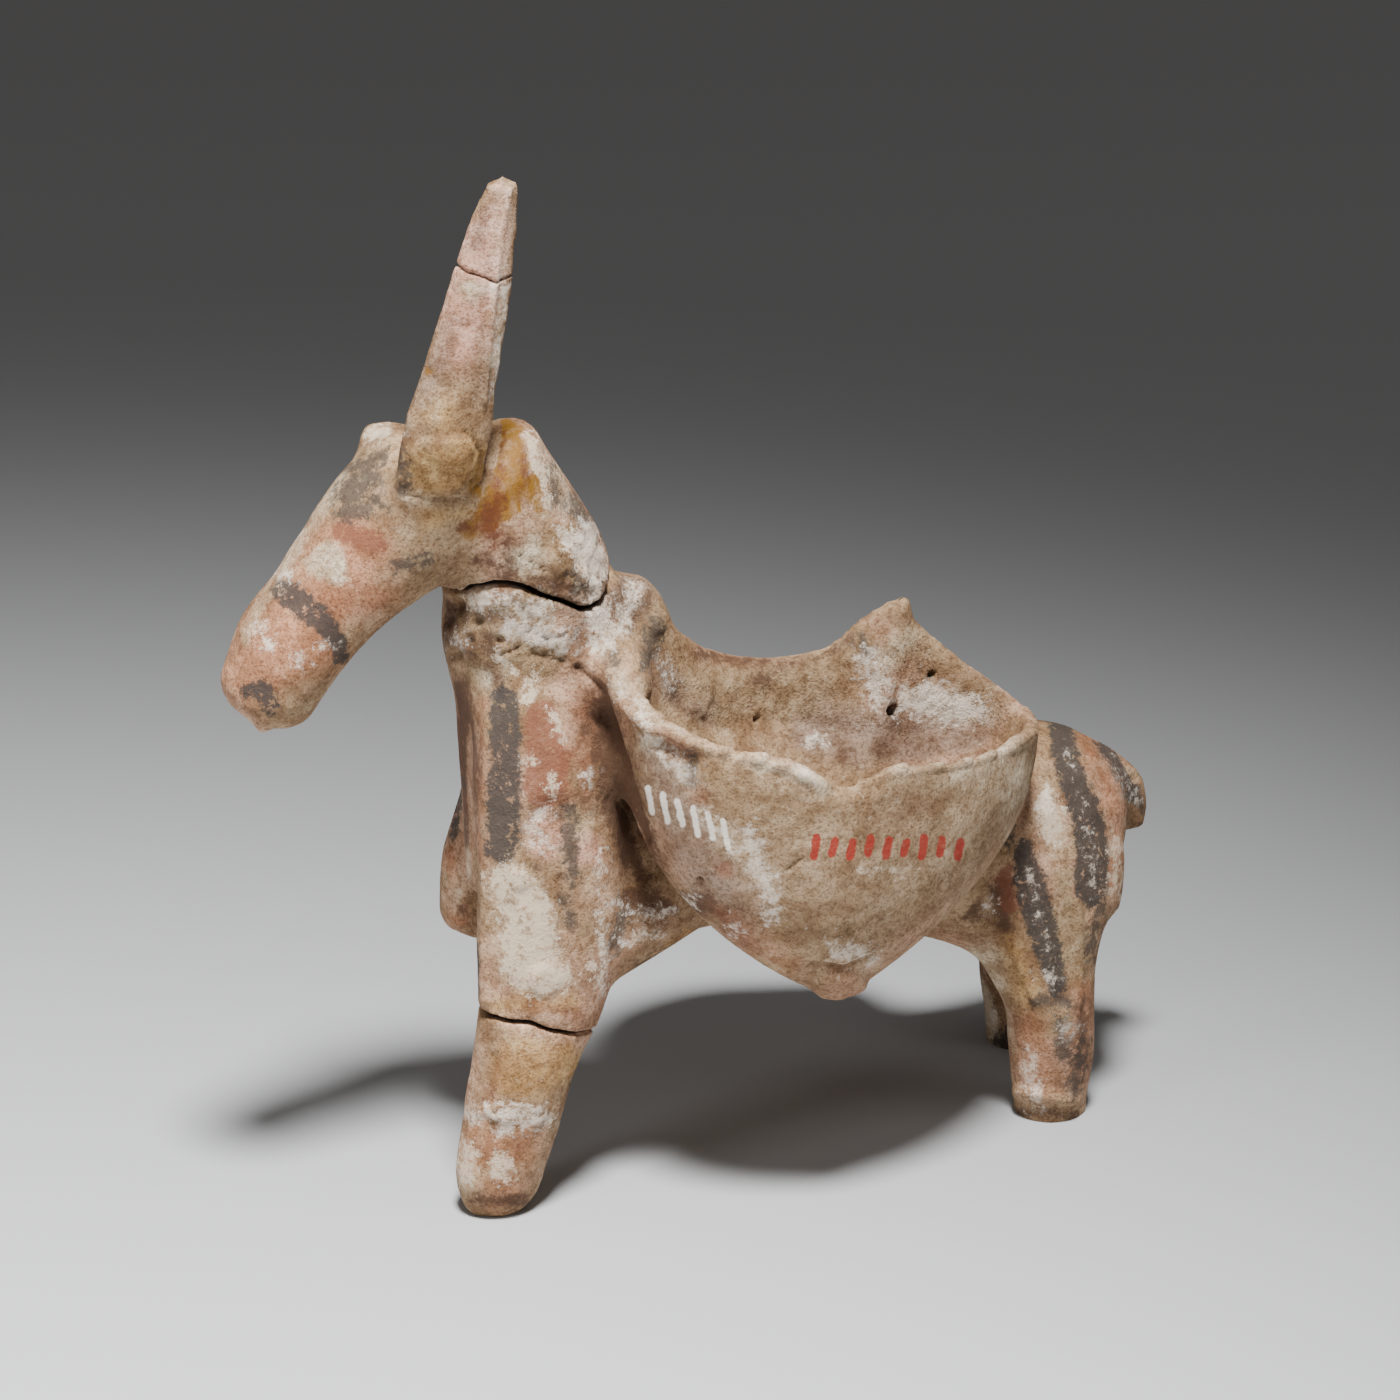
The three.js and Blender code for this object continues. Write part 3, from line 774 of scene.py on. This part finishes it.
# Each row is a wash's colour, its strength, how soft its edge is in mm, and its strokes.
WASHES = [
    (SALMON, 0.7, 6, [[(300, 560, 40), (360, 560, 40), (270, 640, 40)]]),
    (SALMON, 0.8, 5, [[(250, 670, 34), (300, 650, 40)]]),
    (ROSE, 0.95, 5, [[(480, 240, 26), (470, 300, 26), (458, 350, 18)]]),
    (SALMON, 0.8, 4, [[(330, 600, 22), (350, 545, 24)], [(380, 590, 18)]]),
    (SAND, 0.7, 4, [
        [(420, 540, 26), (450, 520, 20)], [(390, 575, 12)], [(300, 700, 20), (330, 680, 10)],
    ]),
    (CREAM, 1.0, 1.5, [[(322, 562, 17), (330, 570, 16)]]),
    (DUN, 0.7, 4, [[(365, 462, 22), (385, 440, 14)], [(420, 575, 14)], [(545, 565, 22)]]),
    # Painted highlight: a cream line along the head's upper left edge and across the brow.
    (CREAM, 0.8, 2, [
        [(244, 640, 5), (290, 556, 5), (335, 486, 5), (355, 448, 6)],
        [(370, 432, 8), (400, 424, 8)],
    ]),
    (OCHRE, 0.9, 3, [
        [(425, 470, 24), (460, 460, 26)], [(440, 415, 16)], [(430, 520, 8), (460, 515, 6)],
    ]),
    (CREAM, 0.5, 1.5, [[(426, 440, 3), (440, 405, 4)], [(400, 498, 3), (440, 502, 4)]]),
    (MAUVE, 0.6, 3, [
        [(482, 205, 5), (476, 250, 8)], [(445, 330, 10), (425, 400, 8)],
        [(488, 330, 4), (486, 390, 6)],
    ]),
    # The ear's pale tip, made lighter down its right side as a painted highlight.
    (CREAM, 0.8, 2, [
        [(500, 186, 8), (506, 210, 7), (500, 262, 7)], [(498, 300, 6), (494, 360, 5)],
        [(470, 290, 12)],
    ]),
    (MAUVE, 0.7, 3, [[(590, 600, 26), (630, 600, 26)], [(570, 500, 16)]]),
    (ROSE, 0.8, 2, [[(564, 480, 5), (562, 520, 6)], [(596, 520, 4), (610, 560, 4)]]),
    (DUN, 0.9, 2, [[(470, 620, 14), (540, 600, 14)], [(485, 680, 22)], [(540, 660, 24)]]),
    (SALMON, 0.8, 2, [
        [(482, 705, 4), (481, 860, 4)], [(560, 740, 8), (566, 800, 8)],
        [(455, 860, 12), (462, 915, 12)],
    ]),
    (ROSE, 0.8, 3, [[(545, 835, 22)], [(588, 850, 14)]]),
    (SAND, 0.9, 4, [[(520, 890, 28), (535, 960, 38)], [(590, 930, 18)]]),
    (OCHRE, 0.8, 2, [
        [(500, 1004, 8), (570, 1004, 7)], [(520, 1070, 32), (558, 1060, 20)],
        [(645, 985, 12), (690, 935, 8)],
    ]),
    # The first two strokes are painted shade: behind the pannier's front edge and down the chest's
    # side.
    (RUST, 0.7, 3, [
        [(584, 700, 11), (588, 800, 13)], [(458, 700, 12), (460, 810, 10)],
        [(730, 660, 8), (795, 668, 8)],
    ]),
    (RUST, 0.6, 2, [
        [(500, 1050, 3), (490, 1100, 4)], [(530, 1005, 6), (575, 1012, 6)], [(540, 1030, 6)],
    ]),
    (SALMON, 0.7, 4, [[(480, 1145, 24), (515, 1145, 22)], [(500, 1190, 20)]]),
    (SAND, 0.9, 8, [[(740, 840, 50), (860, 840, 90), (960, 830, 60)], [(840, 900, 60)]]),
    (MAUVE, 0.7, 5, [[(655, 760, 20), (700, 860, 24), (740, 930, 20)]]),
    (RUST, 0.7, 2, [
        [(655, 724, 7), (684, 750, 10)], [(712, 905, 7), (750, 948, 8)], [(702, 800, 5)],
        [(725, 870, 5)],
    ]),
    (SALMON, 0.5, 4, [
        [(745, 930, 12), (790, 965, 8)], [(990, 880, 10), (1020, 820, 8)], [(845, 980, 14)],
    ]),
    # Brown tones; the last stroke is painted shade in the pannier's inside.
    (UMBER, 0.5, 4, [
        [(880, 806, 12), (930, 806, 8)], [(845, 986, 12)], [(742, 700, 14), (800, 690, 12)],
    ]),
    # Painted shade in the pannier's inside.
    (DUN, 0.8, 5, [[(700, 690, 26), (800, 690, 30)], [(850, 650, 20)], [(980, 690, 26)]]),
    (MAUVE, 0.8, 5, [
        [(820, 735, 26), (900, 740, 30), (980, 740, 20)], [(690, 720, 16), (660, 680, 10)],
    ]),
    (CREAM, 0.75, 3, [
        [(620, 680, 8), (660, 720, 6), (740, 752, 8), (820, 782, 7)],
        [(900, 776, 10), (950, 775, 12), (1016, 752, 12), (1022, 815, 10)],
    ]),
    (SALMON, 0.9, 2, [
        [(1084, 738, 7), (1106, 785, 9), (1116, 812, 5)], [(1118, 830, 5), (1112, 890, 4)],
    ]),
    (SAND, 0.9, 3, [[(1042, 780, 12), (1056, 850, 12)]]),
    (DUN, 1.0, 3, [[(1062, 880, 10), (1075, 960, 16)], [(1048, 722, 8)]]),
    (OCHRE, 0.7, 3, [[(1010, 940, 10), (1024, 990, 12)]]),
    (SALMON, 0.7, 3, [
        [(1082, 990, 6), (1082, 1070, 6)], [(1030, 1030, 14), (1038, 1090, 14)], [(1092, 920, 6)],
    ]),
    (BUFF, 0.7, 3, [[(1030, 1100, 12), (1070, 1106, 8)]]),
    # The first stroke paints the far hind leg lighter: painted light on it.
    (CREAM, 1.0, 3, [
        [(985, 960, 14), (992, 1040, 18)], [(492, 675, 10)], [(525, 562, 12), (535, 545, 8)],
    ]),
    (CREAM, 0.7, 3, [
        [(460, 900, 9), (470, 850, 5)], [(652, 742, 9)], [(938, 705, 14), (985, 716, 8)],
    ]),
    (CREAM, 0.8, 3, [[(560, 470, 9), (566, 510, 9)], [(905, 640, 14), (890, 660, 10)]]),
    (CREAM, 0.5, 4, [[(1000, 790, 14), (1012, 830, 14)]]),
    # Painted highlight down the ear's right side.
    (EAR_HIGHLIGHT, 0.95, 2, [
        [(500, 190, 8), (503, 215, 9), (496, 262, 9)], [(494, 300, 5), (490, 345, 5)],
    ]),
]
# Each row is a patch's colour, its strength, its size, its ragged edge's size and how ragged it is,
# how rare it is, how soft its edge is, and its seed.
PATCHES = [
    (UMBER, 0.4, 7.0, 2.6, 0.4, 0.0, 1.4, 21),
    (ROSE, 0.35, 9.0, 3.1, 0.4, 0.3, 1.0, 23),
]
WASH_EDGES = [(0.8, 2.4, 27), (0.5, 1.0, 28)]
HOLLOW_ROUNDS = 3

wobble = sum(height * grain(points, size, seed) for height, size, seed in WASH_EDGES)
ground = BUFF
for tint, strength, size, ragged_size, ragged, rare, soft, seed in PATCHES:
    lie = grain(points, size, seed) + ragged * grain(points, ragged_size, seed + 1) - rare
    patch = eased(lie, soft)[:, None]
    ground = ground + (tint - ground) * patch * strength
for wash, strength, soft, strokes in WASHES:
    amount = strength * eased(brushed(strokes) + wobble, soft) * NEAR_SIDE
    ground = ground + (wash - ground) * amount[:, None]
# How hollow the skin is at each point, for the painted shade in the hollows.
hollow = (pull_to_neighbours(points, edges) * normals_of(points, faces)).sum(axis=1)
hollow = evened(hollow, SOFTENED, HOLLOW_ROUNDS)
colours = np.concatenate([ground, np.ones((len(points), 1))], axis=1).astype(np.float32)
mesh.attributes.new("ground", "FLOAT_COLOR", "POINT").data.foreach_set("color", colours.ravel())
keep("hollow", hollow)
keep("gap", gap)

# The painting. Thin matt paint, brushed on the clay and much worn: black bands and stripes, red
# between them and cream slip. Soot, brown stains, chalky bloom and runs of old resin lie on top.
# The brown stain layer is also painted shade: behind the pannier's front edge, under the belly
# and the pannier, down the chest's side and in the pannier's inside. One stroke of slip also
# paints the far hind leg lighter, as painted light.
# The far side's strokes are x, z and radius in mm.
BLACK = [
    [(284, 590, 12), (304, 606, 13), (322, 622, 12), (338, 640, 8), (340, 655, 9)],
    [(247, 692, 7), (262, 690, 10), (271, 704, 9), (272, 711, 6)],
    [(505, 700, 14), (506, 760, 15), (505, 830, 16), (502, 852, 13)],
    [(459, 780, 5), (455, 840, 4)], [(479, 945, 4), (480, 992, 4)],
    [(1060, 733, 13), (1073, 780, 14), (1088, 822, 17), (1093, 860, 18), (1092, 890, 17)],
    [(1023, 845, 8), (1029, 880, 16), (1041, 922, 16), (1051, 960, 13), (1058, 990, 9)],
    [(1097, 733, 6), (1116, 762, 8), (1131, 789, 9), (1137, 808, 8)], [(998, 1041, 7)],
]
FAR_BLACK = [
    [(46, 50, 2.4), (42, 40, 3), (40, 28, 3)], [(33, 46, 2), (35, 30, 2.6), (38, 20, 2.2)],
    [(-34, 70, 2.4), (-33, 40, 2.6)], [(-24, 66, 2), (-23, 44, 2.2)], [(-52, 92, 2), (-50, 84, 2)],
    [(-46, 104, 2), (-42, 96, 2)], [(46, 3, 5), (52, 3, 4)],
]
RED = [
    [(542, 716, 17), (547, 760, 21), (545, 790, 21)], [(340, 530, 9), (380, 545, 10)],
    [(1004, 870, 8), (1008, 905, 9)],
]
FAR_RED = [
    [(-29, 68, 2), (-28, 42, 2.4)], [(40, 46, 1.8), (37, 30, 2)],
]
SOOT = [
    [(346, 494, 13), (366, 478, 14)], [(345, 512, 11), (366, 510, 9)],
    [(372, 500, 9), (385, 506, 4)], [(350, 470, 6), (385, 455, 8)],
    [(397, 442, 5), (403, 470, 6), (404, 490, 7)], [(552, 468, 6), (555, 500, 7)],
    [(572, 500, 7), (584, 520, 9)], [(654, 625, 9), (648, 662, 9)], [(612, 658, 9)],
    [(571, 812, 8), (570, 850, 10), (574, 880, 5)], [(566, 900, 6), (572, 925, 4)],
    [(614, 945, 9), (626, 910, 7)], [(690, 752, 4), (692, 782, 4)],
    [(1060, 1020, 6), (1064, 1052, 9)], [(1082, 1040, 5), (1074, 1090, 7)], [(1094, 960, 3)],
    [(1034, 1000, 4), (1066, 1000, 6)], [(1100, 905, 6), (1090, 950, 5)],
    [(862, 640, 5), (868, 660, 6)], [(570, 572, 6), (582, 584, 5)], [(400, 565, 7), (425, 560, 6)],
]
# Brown stains, and painted shade: behind the pannier's front edge, under the belly and pannier,
# down the chest's side and in the pannier's inside.
STAIN_AND_SHADE = [
    [(598, 680, 9), (606, 740, 16), (620, 800, 22), (638, 850, 22), (655, 880, 14)],
    [(578, 668, 6)], [(443, 598, 7), (448, 640, 7), (470, 645, 8)],
    [(460, 690, 12), (470, 760, 14), (466, 840, 9)], [(465, 610, 7)],
    [(475, 1198, 5), (520, 1202, 7)], [(464, 908, 6), (474, 925, 6)],
    [(640, 968, 7), (700, 940, 9)], [(630, 902, 15), (700, 905, 14)], [(505, 905, 2)],
    [(522, 926, 3)], [(546, 892, 2)], [(512, 962, 2)], [(556, 940, 3)], [(536, 868, 3)],
    [(478, 612, 6), (510, 622, 5)], [(600, 640, 4)], [(545, 640, 5)],
    [(530, 578, 4), (560, 588, 4)], [(586, 730, 7)], [(972, 910, 13)],
    [(998, 890, 11), (1006, 925, 8)], [(700, 655, 5), (790, 664, 4), (850, 640, 4)],
    [(662, 672, 6), (672, 690, 5)], [(1138, 828, 6)], [(1015, 1112, 4), (1078, 1116, 4)],
    [(1080, 1000, 4), (1082, 1060, 6)], [(712, 705, 4)], [(760, 680, 7)], [(845, 755, 8)],
    [(880, 750, 6)], [(893, 700, 5), (897, 716, 6)], [(930, 676, 4)],
    [(500, 700, 4), (490, 640, 8)], [(505, 545, 5), (515, 575, 6), (480, 560, 6)], [(575, 640, 6)],
]
WHITE = [
    [(508, 880, 18), (528, 915, 26), (530, 960, 28), (540, 980, 18)], [(594, 965, 5)],
    [(560, 975, 14)], [(467, 1150, 11), (466, 1178, 9)], [(503, 1167, 13)],
    [(530, 442, 8), (540, 470, 9), (543, 500, 7)],
    [(566, 532, 8), (578, 548, 13), (590, 572, 11), (592, 590, 6)],
    # The second stroke below is whitish slip on the far hind leg, and also painted light that lifts
    # it.
    [(1042, 797, 13), (1054, 832, 13)], [(982, 985, 7), (988, 1020, 8)],
    [(1116, 842, 4), (1115, 893, 5)], [(498, 657, 4), (513, 668, 4)],
    [(534, 680, 8), (528, 698, 7)], [(553, 712, 2.5), (563, 742, 2.5)], [(527, 760, 4)],
    [(554, 780, 4), (554, 796, 5)], [(371, 434, 7), (396, 428, 6)],
    [(858, 869, 1.2), (911, 871, 1.2)],
]
CHALK = CRUSTED + [
    [(545, 812, 3), (530, 826, 3), (545, 845, 3)], [(588, 776, 2)], [(600, 850, -3), (602, 990, 1)],
    [(612, 903, 1), (650, 917, 3), (692, 903, 2)], [(622, 940, 2), (655, 930, 1)], [(996, 1018, 4)],
    [(1050, 978, 3)], [(1066, 1030, 4)],
    [(1066, 745, -8), (1080, 800, -6), (1090, 850, -4), (1094, 890, -5)],
    [(1030, 1060, 2), (1036, 1104, 2)], [(1028, 880, -1), (1042, 925, -6), (1054, 975, -7)],
    [(1112, 760, -5), (1132, 795, -2)], [(990, 905, 2)],
    [(640, 705, 1), (652, 742, 2), (690, 778, 2)], [(840, 952, 7), (868, 956, 5)],
    [(748, 835, 5), (766, 880, 8), (770, 915, 6)], [(735, 930, 1)], [(700, 812, 1), (736, 850, 5)],
    [(868, 660, 8), (880, 700, 9)], [(910, 702, 12), (955, 706, 15), (985, 712, 6)],
    [(268, 640, 1), (270, 646, 1)], [(258, 630, 1)], [(300, 660, 1)], [(322, 650, 2)],
    [(284, 574, 2)], [(660, 660, 3), (668, 680, 3)], [(505, 1125, 7), (545, 1118, 6)],
    [(620, 690, 2)], [(1135, 800, 2)], [(584, 540, 17), (600, 570, 10)], [(1046, 800, 7)],
    [(505, 286, 2), (502, 330, 0), (496, 400, -1)],
]
RESIN = [
    [(499, 418, 6), (511, 436, 13), (512, 470, 17), (502, 502, 18), (484, 522, 13)],
    [(528, 486, 10), (540, 508, 6)], [(431, 370, 3)], [(486, 458, 5), (474, 492, 6)],
    [(470, 530, 9)],
]
SCORCHED = [
    [(498, 500, 8), (488, 520, 12), (496, 542, 6)], [(467, 528, 8)],
    [(498, 490, 3), (500, 460, 2), (500, 428, 2)], [(521, 445, 1), (526, 478, 1.5), (518, 500, 2)],
]
# The two rows of short marks on the pannier: each mark leans a little and they differ in height.
PALE_ROW = [
    [(648 + 15 * k, 788 + 6.5 * k, 3), (653 + 15 * k, 812 + 6.5 * k + 3 * (k % 2), 3)]
    for k in range(6)
]
RED_ROW = [
    [(817 + 18 * k, 838 + 2 * (k % 3), 4), (814 + 18 * k, 857 - 3 * (k % 2), 4)]
    for k in range(9)
]

keep("black", brushed(BLACK, FAR_BLACK))
keep("red", brushed(RED, FAR_RED))
for name, strokes in (
    ("soot", SOOT), ("stain_and_shade", STAIN_AND_SHADE), ("white", WHITE), ("chalk", CHALK), ("resin", RESIN),
    ("scorched", SCORCHED), ("pale_row", PALE_ROW), ("red_row", RED_ROW), ("weathered", WEATHERED),
):
    keep(name, brushed(strokes))

finish = bpy.data.materials.new("painted_clay")
finish.use_nodes = True
nodes = finish.node_tree.nodes
links = finish.node_tree.links
surface = nodes["Principled BSDF"]
on_clay = nodes.new("ShaderNodeTexCoord").outputs["Object"]


def feed(socket, value):
    """Puts a link, a colour or a number into a socket."""
    if isinstance(value, bpy.types.NodeSocket):
        links.new(value, socket)
    elif isinstance(value, np.ndarray):
        socket.default_value = (*value, 1)
    else:
        socket.default_value = value


def from_mesh(name, output="Fac"):
    """What the mesh stores for each point under a name."""
    node = nodes.new("ShaderNodeAttribute")
    node.attribute_name = name
    return node.outputs[output]


def speckle(size, detail=4.0, rough=0.6, stretch=(1, 1, 1)):
    """Noise from 0 to 1 with its main lumps size mm apart."""
    place = nodes.new("ShaderNodeMapping")
    place.inputs["Scale"].default_value = [1000 / size / s for s in stretch]
    links.new(on_clay, place.inputs["Vector"])
    node = nodes.new("ShaderNodeTexNoise")
    node.inputs["Scale"].default_value = 1.0
    node.inputs["Detail"].default_value = detail
    node.inputs["Roughness"].default_value = rough
    links.new(place.outputs["Vector"], node.inputs["Vector"])
    return node.outputs["Fac"]


def maths(kind, first, second, third=0.0):
    """One step of arithmetic on two or three values."""
    node = nodes.new("ShaderNodeMath")
    node.operation = kind
    for socket, value in zip(node.inputs, (first, second, third)):
        feed(socket, value)
    return node.outputs["Value"]


def between(value, low, high, most=1.0, least=0.0):
    """The given least below low, the given most above high, and smooth between."""
    node = nodes.new("ShaderNodeMapRange")
    node.interpolation_type = "SMOOTHSTEP"
    feed(node.inputs["Value"], value)
    node.inputs["From Min"].default_value = low
    node.inputs["From Max"].default_value = high
    node.inputs["To Min"].default_value = least
    node.inputs["To Max"].default_value = most
    return node.outputs["Result"]


def over(below, above, amount, kind="MIX"):
    """The colour above laid over the colour below, by the given amount."""
    node = nodes.new("ShaderNodeMix")
    node.data_type = "RGBA"
    node.blend_type = kind
    feed(node.inputs["Factor"], amount)
    feed(node.inputs["A"], below)
    feed(node.inputs["B"], above)
    return node.outputs["Result"]


# The clouds of spots that the clay and the paint share, from coarse to fine.
broad = speckle(6.0, 4, 0.6)
middling = speckle(2.4, 8, 0.72)
dusty = speckle(1.3, 10, 0.82)
worn = speckle(1.6, 8, 0.72)
small = speckle(0.7, 5, 0.75)
gritty = speckle(0.35, 3, 0.7)

# Each row is a cloud of spots, where it starts and is full, its strength, its colour and whether it
# is thin and tints the clay or thick and covers it.
CLOUDS = [
    (broad, 0.62, 0.38, 0.8, shade(208, 194, 178), "MULTIPLY"),
    (middling, 0.56, 0.42, 0.6, shade(196, 180, 162), "MULTIPLY"),
    (dusty, 0.56, 0.66, 0.45, shade(214, 198, 178), "MIX"),
    (small, 0.54, 0.40, 0.45, shade(168, 148, 130), "MULTIPLY"),
    (dusty, 0.42, 0.36, 0.55, shade(84, 62, 46), "MIX"),
    (gritty, 0.5, 0.36, 0.5, shade(178, 160, 146), "MULTIPLY"),
]
colour = from_mesh("ground", "Color")
for cloud, starts, full, strength, tint, kind in CLOUDS:
    colour = over(colour, tint, between(cloud, starts, full, strength), kind)

RUBBED_EDGE = 0.05


def edged(name, cloud, wear):
    """The depth inside a layer's strokes in mm, with its edge moved by (cloud - 0.5) * wear."""
    return maths("MULTIPLY_ADD", maths("SUBTRACT", cloud, 0.5), wear, from_mesh(name))


def painted(below, name, paint, wear, edge, holes, most, rubs_at):
    """Paint where its edged depth is above zero, soft over edge, with small holes rubbed through
    where half of worn and half of small together pass rubs_at."""
    cover = between(edged(name, dusty, wear), -edge, edge, most)
    rubbing = maths("MULTIPLY_ADD", worn, 0.5, maths("MULTIPLY", small, 0.5))
    rubbed = between(rubbing, rubs_at, rubs_at + RUBBED_EDGE, holes)
    return over(below, paint, maths("MULTIPLY", cover, maths("SUBTRACT", 1.0, rubbed)))


# Each row is a layer's name and colour, how far its edge is worn and how soft it is in mm, how open
# its holes are, how thick it is at most, and where it starts to be rubbed through.
LAYERS = [
    # Brown stains, and painted shade behind the pannier, under the belly and down the chest.
    ("stain_and_shade", shade(78, 52, 36), 9.0, 1.0, 0.3, 0.88, 0.56),
    ("red", shade(122, 72, 52), 6.0, 0.4, 0.8, 0.78, 0.56),
    ("black", shade(56, 51, 48), 5.0, 0.3, 0.75, 0.9, 0.55),
    ("soot", shade(60, 53, 48), 9.0, 0.7, 0.6, 0.8, 0.57),
    ("white", shade(208, 188, 164), 11.0, 0.4, 0.85, 0.8, 0.51),
    ("chalk", shade(228, 214, 198), 15.0, 1.0, 0.75, 0.72, 0.53),
    ("pale_row", shade(236, 226, 212), 1.0, 0.1, 0.5, 0.9, 0.56),
    ("red_row", shade(158, 40, 30), 1.0, 0.1, 0.5, 0.9, 0.56),
]
for layer in LAYERS:
    colour = painted(colour, *layer)

AMBER = shade(128, 88, 22)
RESIN_WEAR = 5.0
RESIN_EDGE = 0.3
resin = between(edged("resin", middling, RESIN_WEAR), -RESIN_EDGE, RESIN_EDGE)
streak = speckle(1.4, 6, 0.6, (1, 1, 4))
colour = over(colour, AMBER, maths("MULTIPLY", resin, between(streak, 0.35, 0.55, 0.95, 0.5)))
colour = painted(colour, "scorched", shade(92, 44, 24), 7.0, 0.8, 0.3, 0.85, 0.56)

# Painted shade: the skin's hollows are darkened, in patches.
HOLLOW_SHADE = shade(70, 48, 34)
GAP_SHADE = shade(26, 18, 14)
hollow_shade = between(from_mesh("hollow"), 0.01, 0.08, 0.75)
colour = over(colour, HOLLOW_SHADE, maths("MULTIPLY", hollow_shade, between(worn, 0.35, 0.6)))
# Painted shade in the mended breaks: darker where the gap is deeper.
colour = over(colour, GAP_SHADE, between(from_mesh("gap"), 0.5, 1.2, 0.95))
MATT, RESIN_GLOSS, SHEEN = 0.82, 0.34, 0.3
GRIT_HEIGHT = 0.0006
links.new(colour, surface.inputs["Base Color"])
surface.inputs["Specular IOR Level"].default_value = SHEEN
links.new(between(resin, 0.0, 1.0, RESIN_GLOSS, MATT), surface.inputs["Roughness"])
bump = nodes.new("ShaderNodeBump")
bump.inputs["Distance"].default_value = GRIT_HEIGHT
links.new(between(from_mesh("weathered"), -2.0, 1.0, 1.0, 0.5), bump.inputs["Strength"])
grit = maths("MULTIPLY_ADD", gritty, 0.35, maths("MULTIPLY_ADD", small, 0.6, worn))
links.new(grit, bump.inputs["Height"])
links.new(bump.outputs["Normal"], surface.inputs["Normal"])
mesh.materials.append(finish)
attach(donkey, "root")
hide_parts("donkey")

# The floor and the light: a plain pale sheet of paper, a large soft lamp above the front and two
# weaker ones at the sides. These sizes and places are metres.
FLOOR_SIDE = 3
FLOOR_BACK = 4
FLOOR_PAPER = shade(163, 164, 165)
FLOOR_ROUGH = 0.7
# Each row is a lamp's kind and name, its place, where it aims, its size and its power in watts.
LAMPS = [
    ("SPOT", "key", (-0.12, -0.36, 1.20), (-0.20, -0.20, 0), 0.24, 315),
    ("AREA", "left", (-0.75, -0.22, 0.28), (0, 0, 0.06), 0.2, 1.5),
    ("AREA", "right", (0.7, -0.5, 0.5), (0, 0, 0.06), 0.4, 0.7),
]
KEY_CONE = radians(42)
ROOM_LIGHT = (0.84, 0.80, 0.78, 1)
ROOM_STRENGTH = 0.145

corners = [
    (-FLOOR_SIDE, -FLOOR_SIDE, 0), (FLOOR_SIDE, -FLOOR_SIDE, 0),
    (FLOOR_SIDE, FLOOR_BACK, 0), (-FLOOR_SIDE, FLOOR_BACK, 0),
]
floor_mesh = bpy.data.meshes.new("floor")
floor_mesh.from_pydata(corners, [], [(0, 1, 2, 3)])
floor = bpy.data.objects.new("floor", floor_mesh)
bpy.context.scene.collection.objects.link(floor)
floor_finish = bpy.data.materials.new("floor_paper")
floor_finish.use_nodes = True
paper = floor_finish.node_tree.nodes["Principled BSDF"]
paper.inputs["Base Color"].default_value = (*FLOOR_PAPER, 1)
paper.inputs["Roughness"].default_value = FLOOR_ROUGH
floor_mesh.materials.append(floor_finish)


def lamp(kind, name, place, aim, size, power):
    """A lamp at its place, turned so that its beam, along its own -Z, points at the aim."""
    data = bpy.data.lights.new(name, kind)
    data.energy = power
    lamp_object = bpy.data.objects.new(name, data)
    bpy.context.scene.collection.objects.link(lamp_object)
    turn = (Vector(aim) - Vector(place)).to_track_quat("-Z", "Y").to_matrix().to_4x4()
    lamp_object.matrix_world = Matrix.Translation(place) @ turn
    if kind == "AREA":
        data.size = size
    else:
        data.shadow_soft_size = size / 2
        data.spot_size = KEY_CONE
        data.spot_blend = 1.0


for row in LAMPS:
    lamp(*row)
world = bpy.data.worlds.new("world")
bpy.context.scene.world = world
world.use_nodes = True
room = world.node_tree.nodes["Background"]
room.inputs["Color"].default_value = ROOM_LIGHT
room.inputs["Strength"].default_value = ROOM_STRENGTH
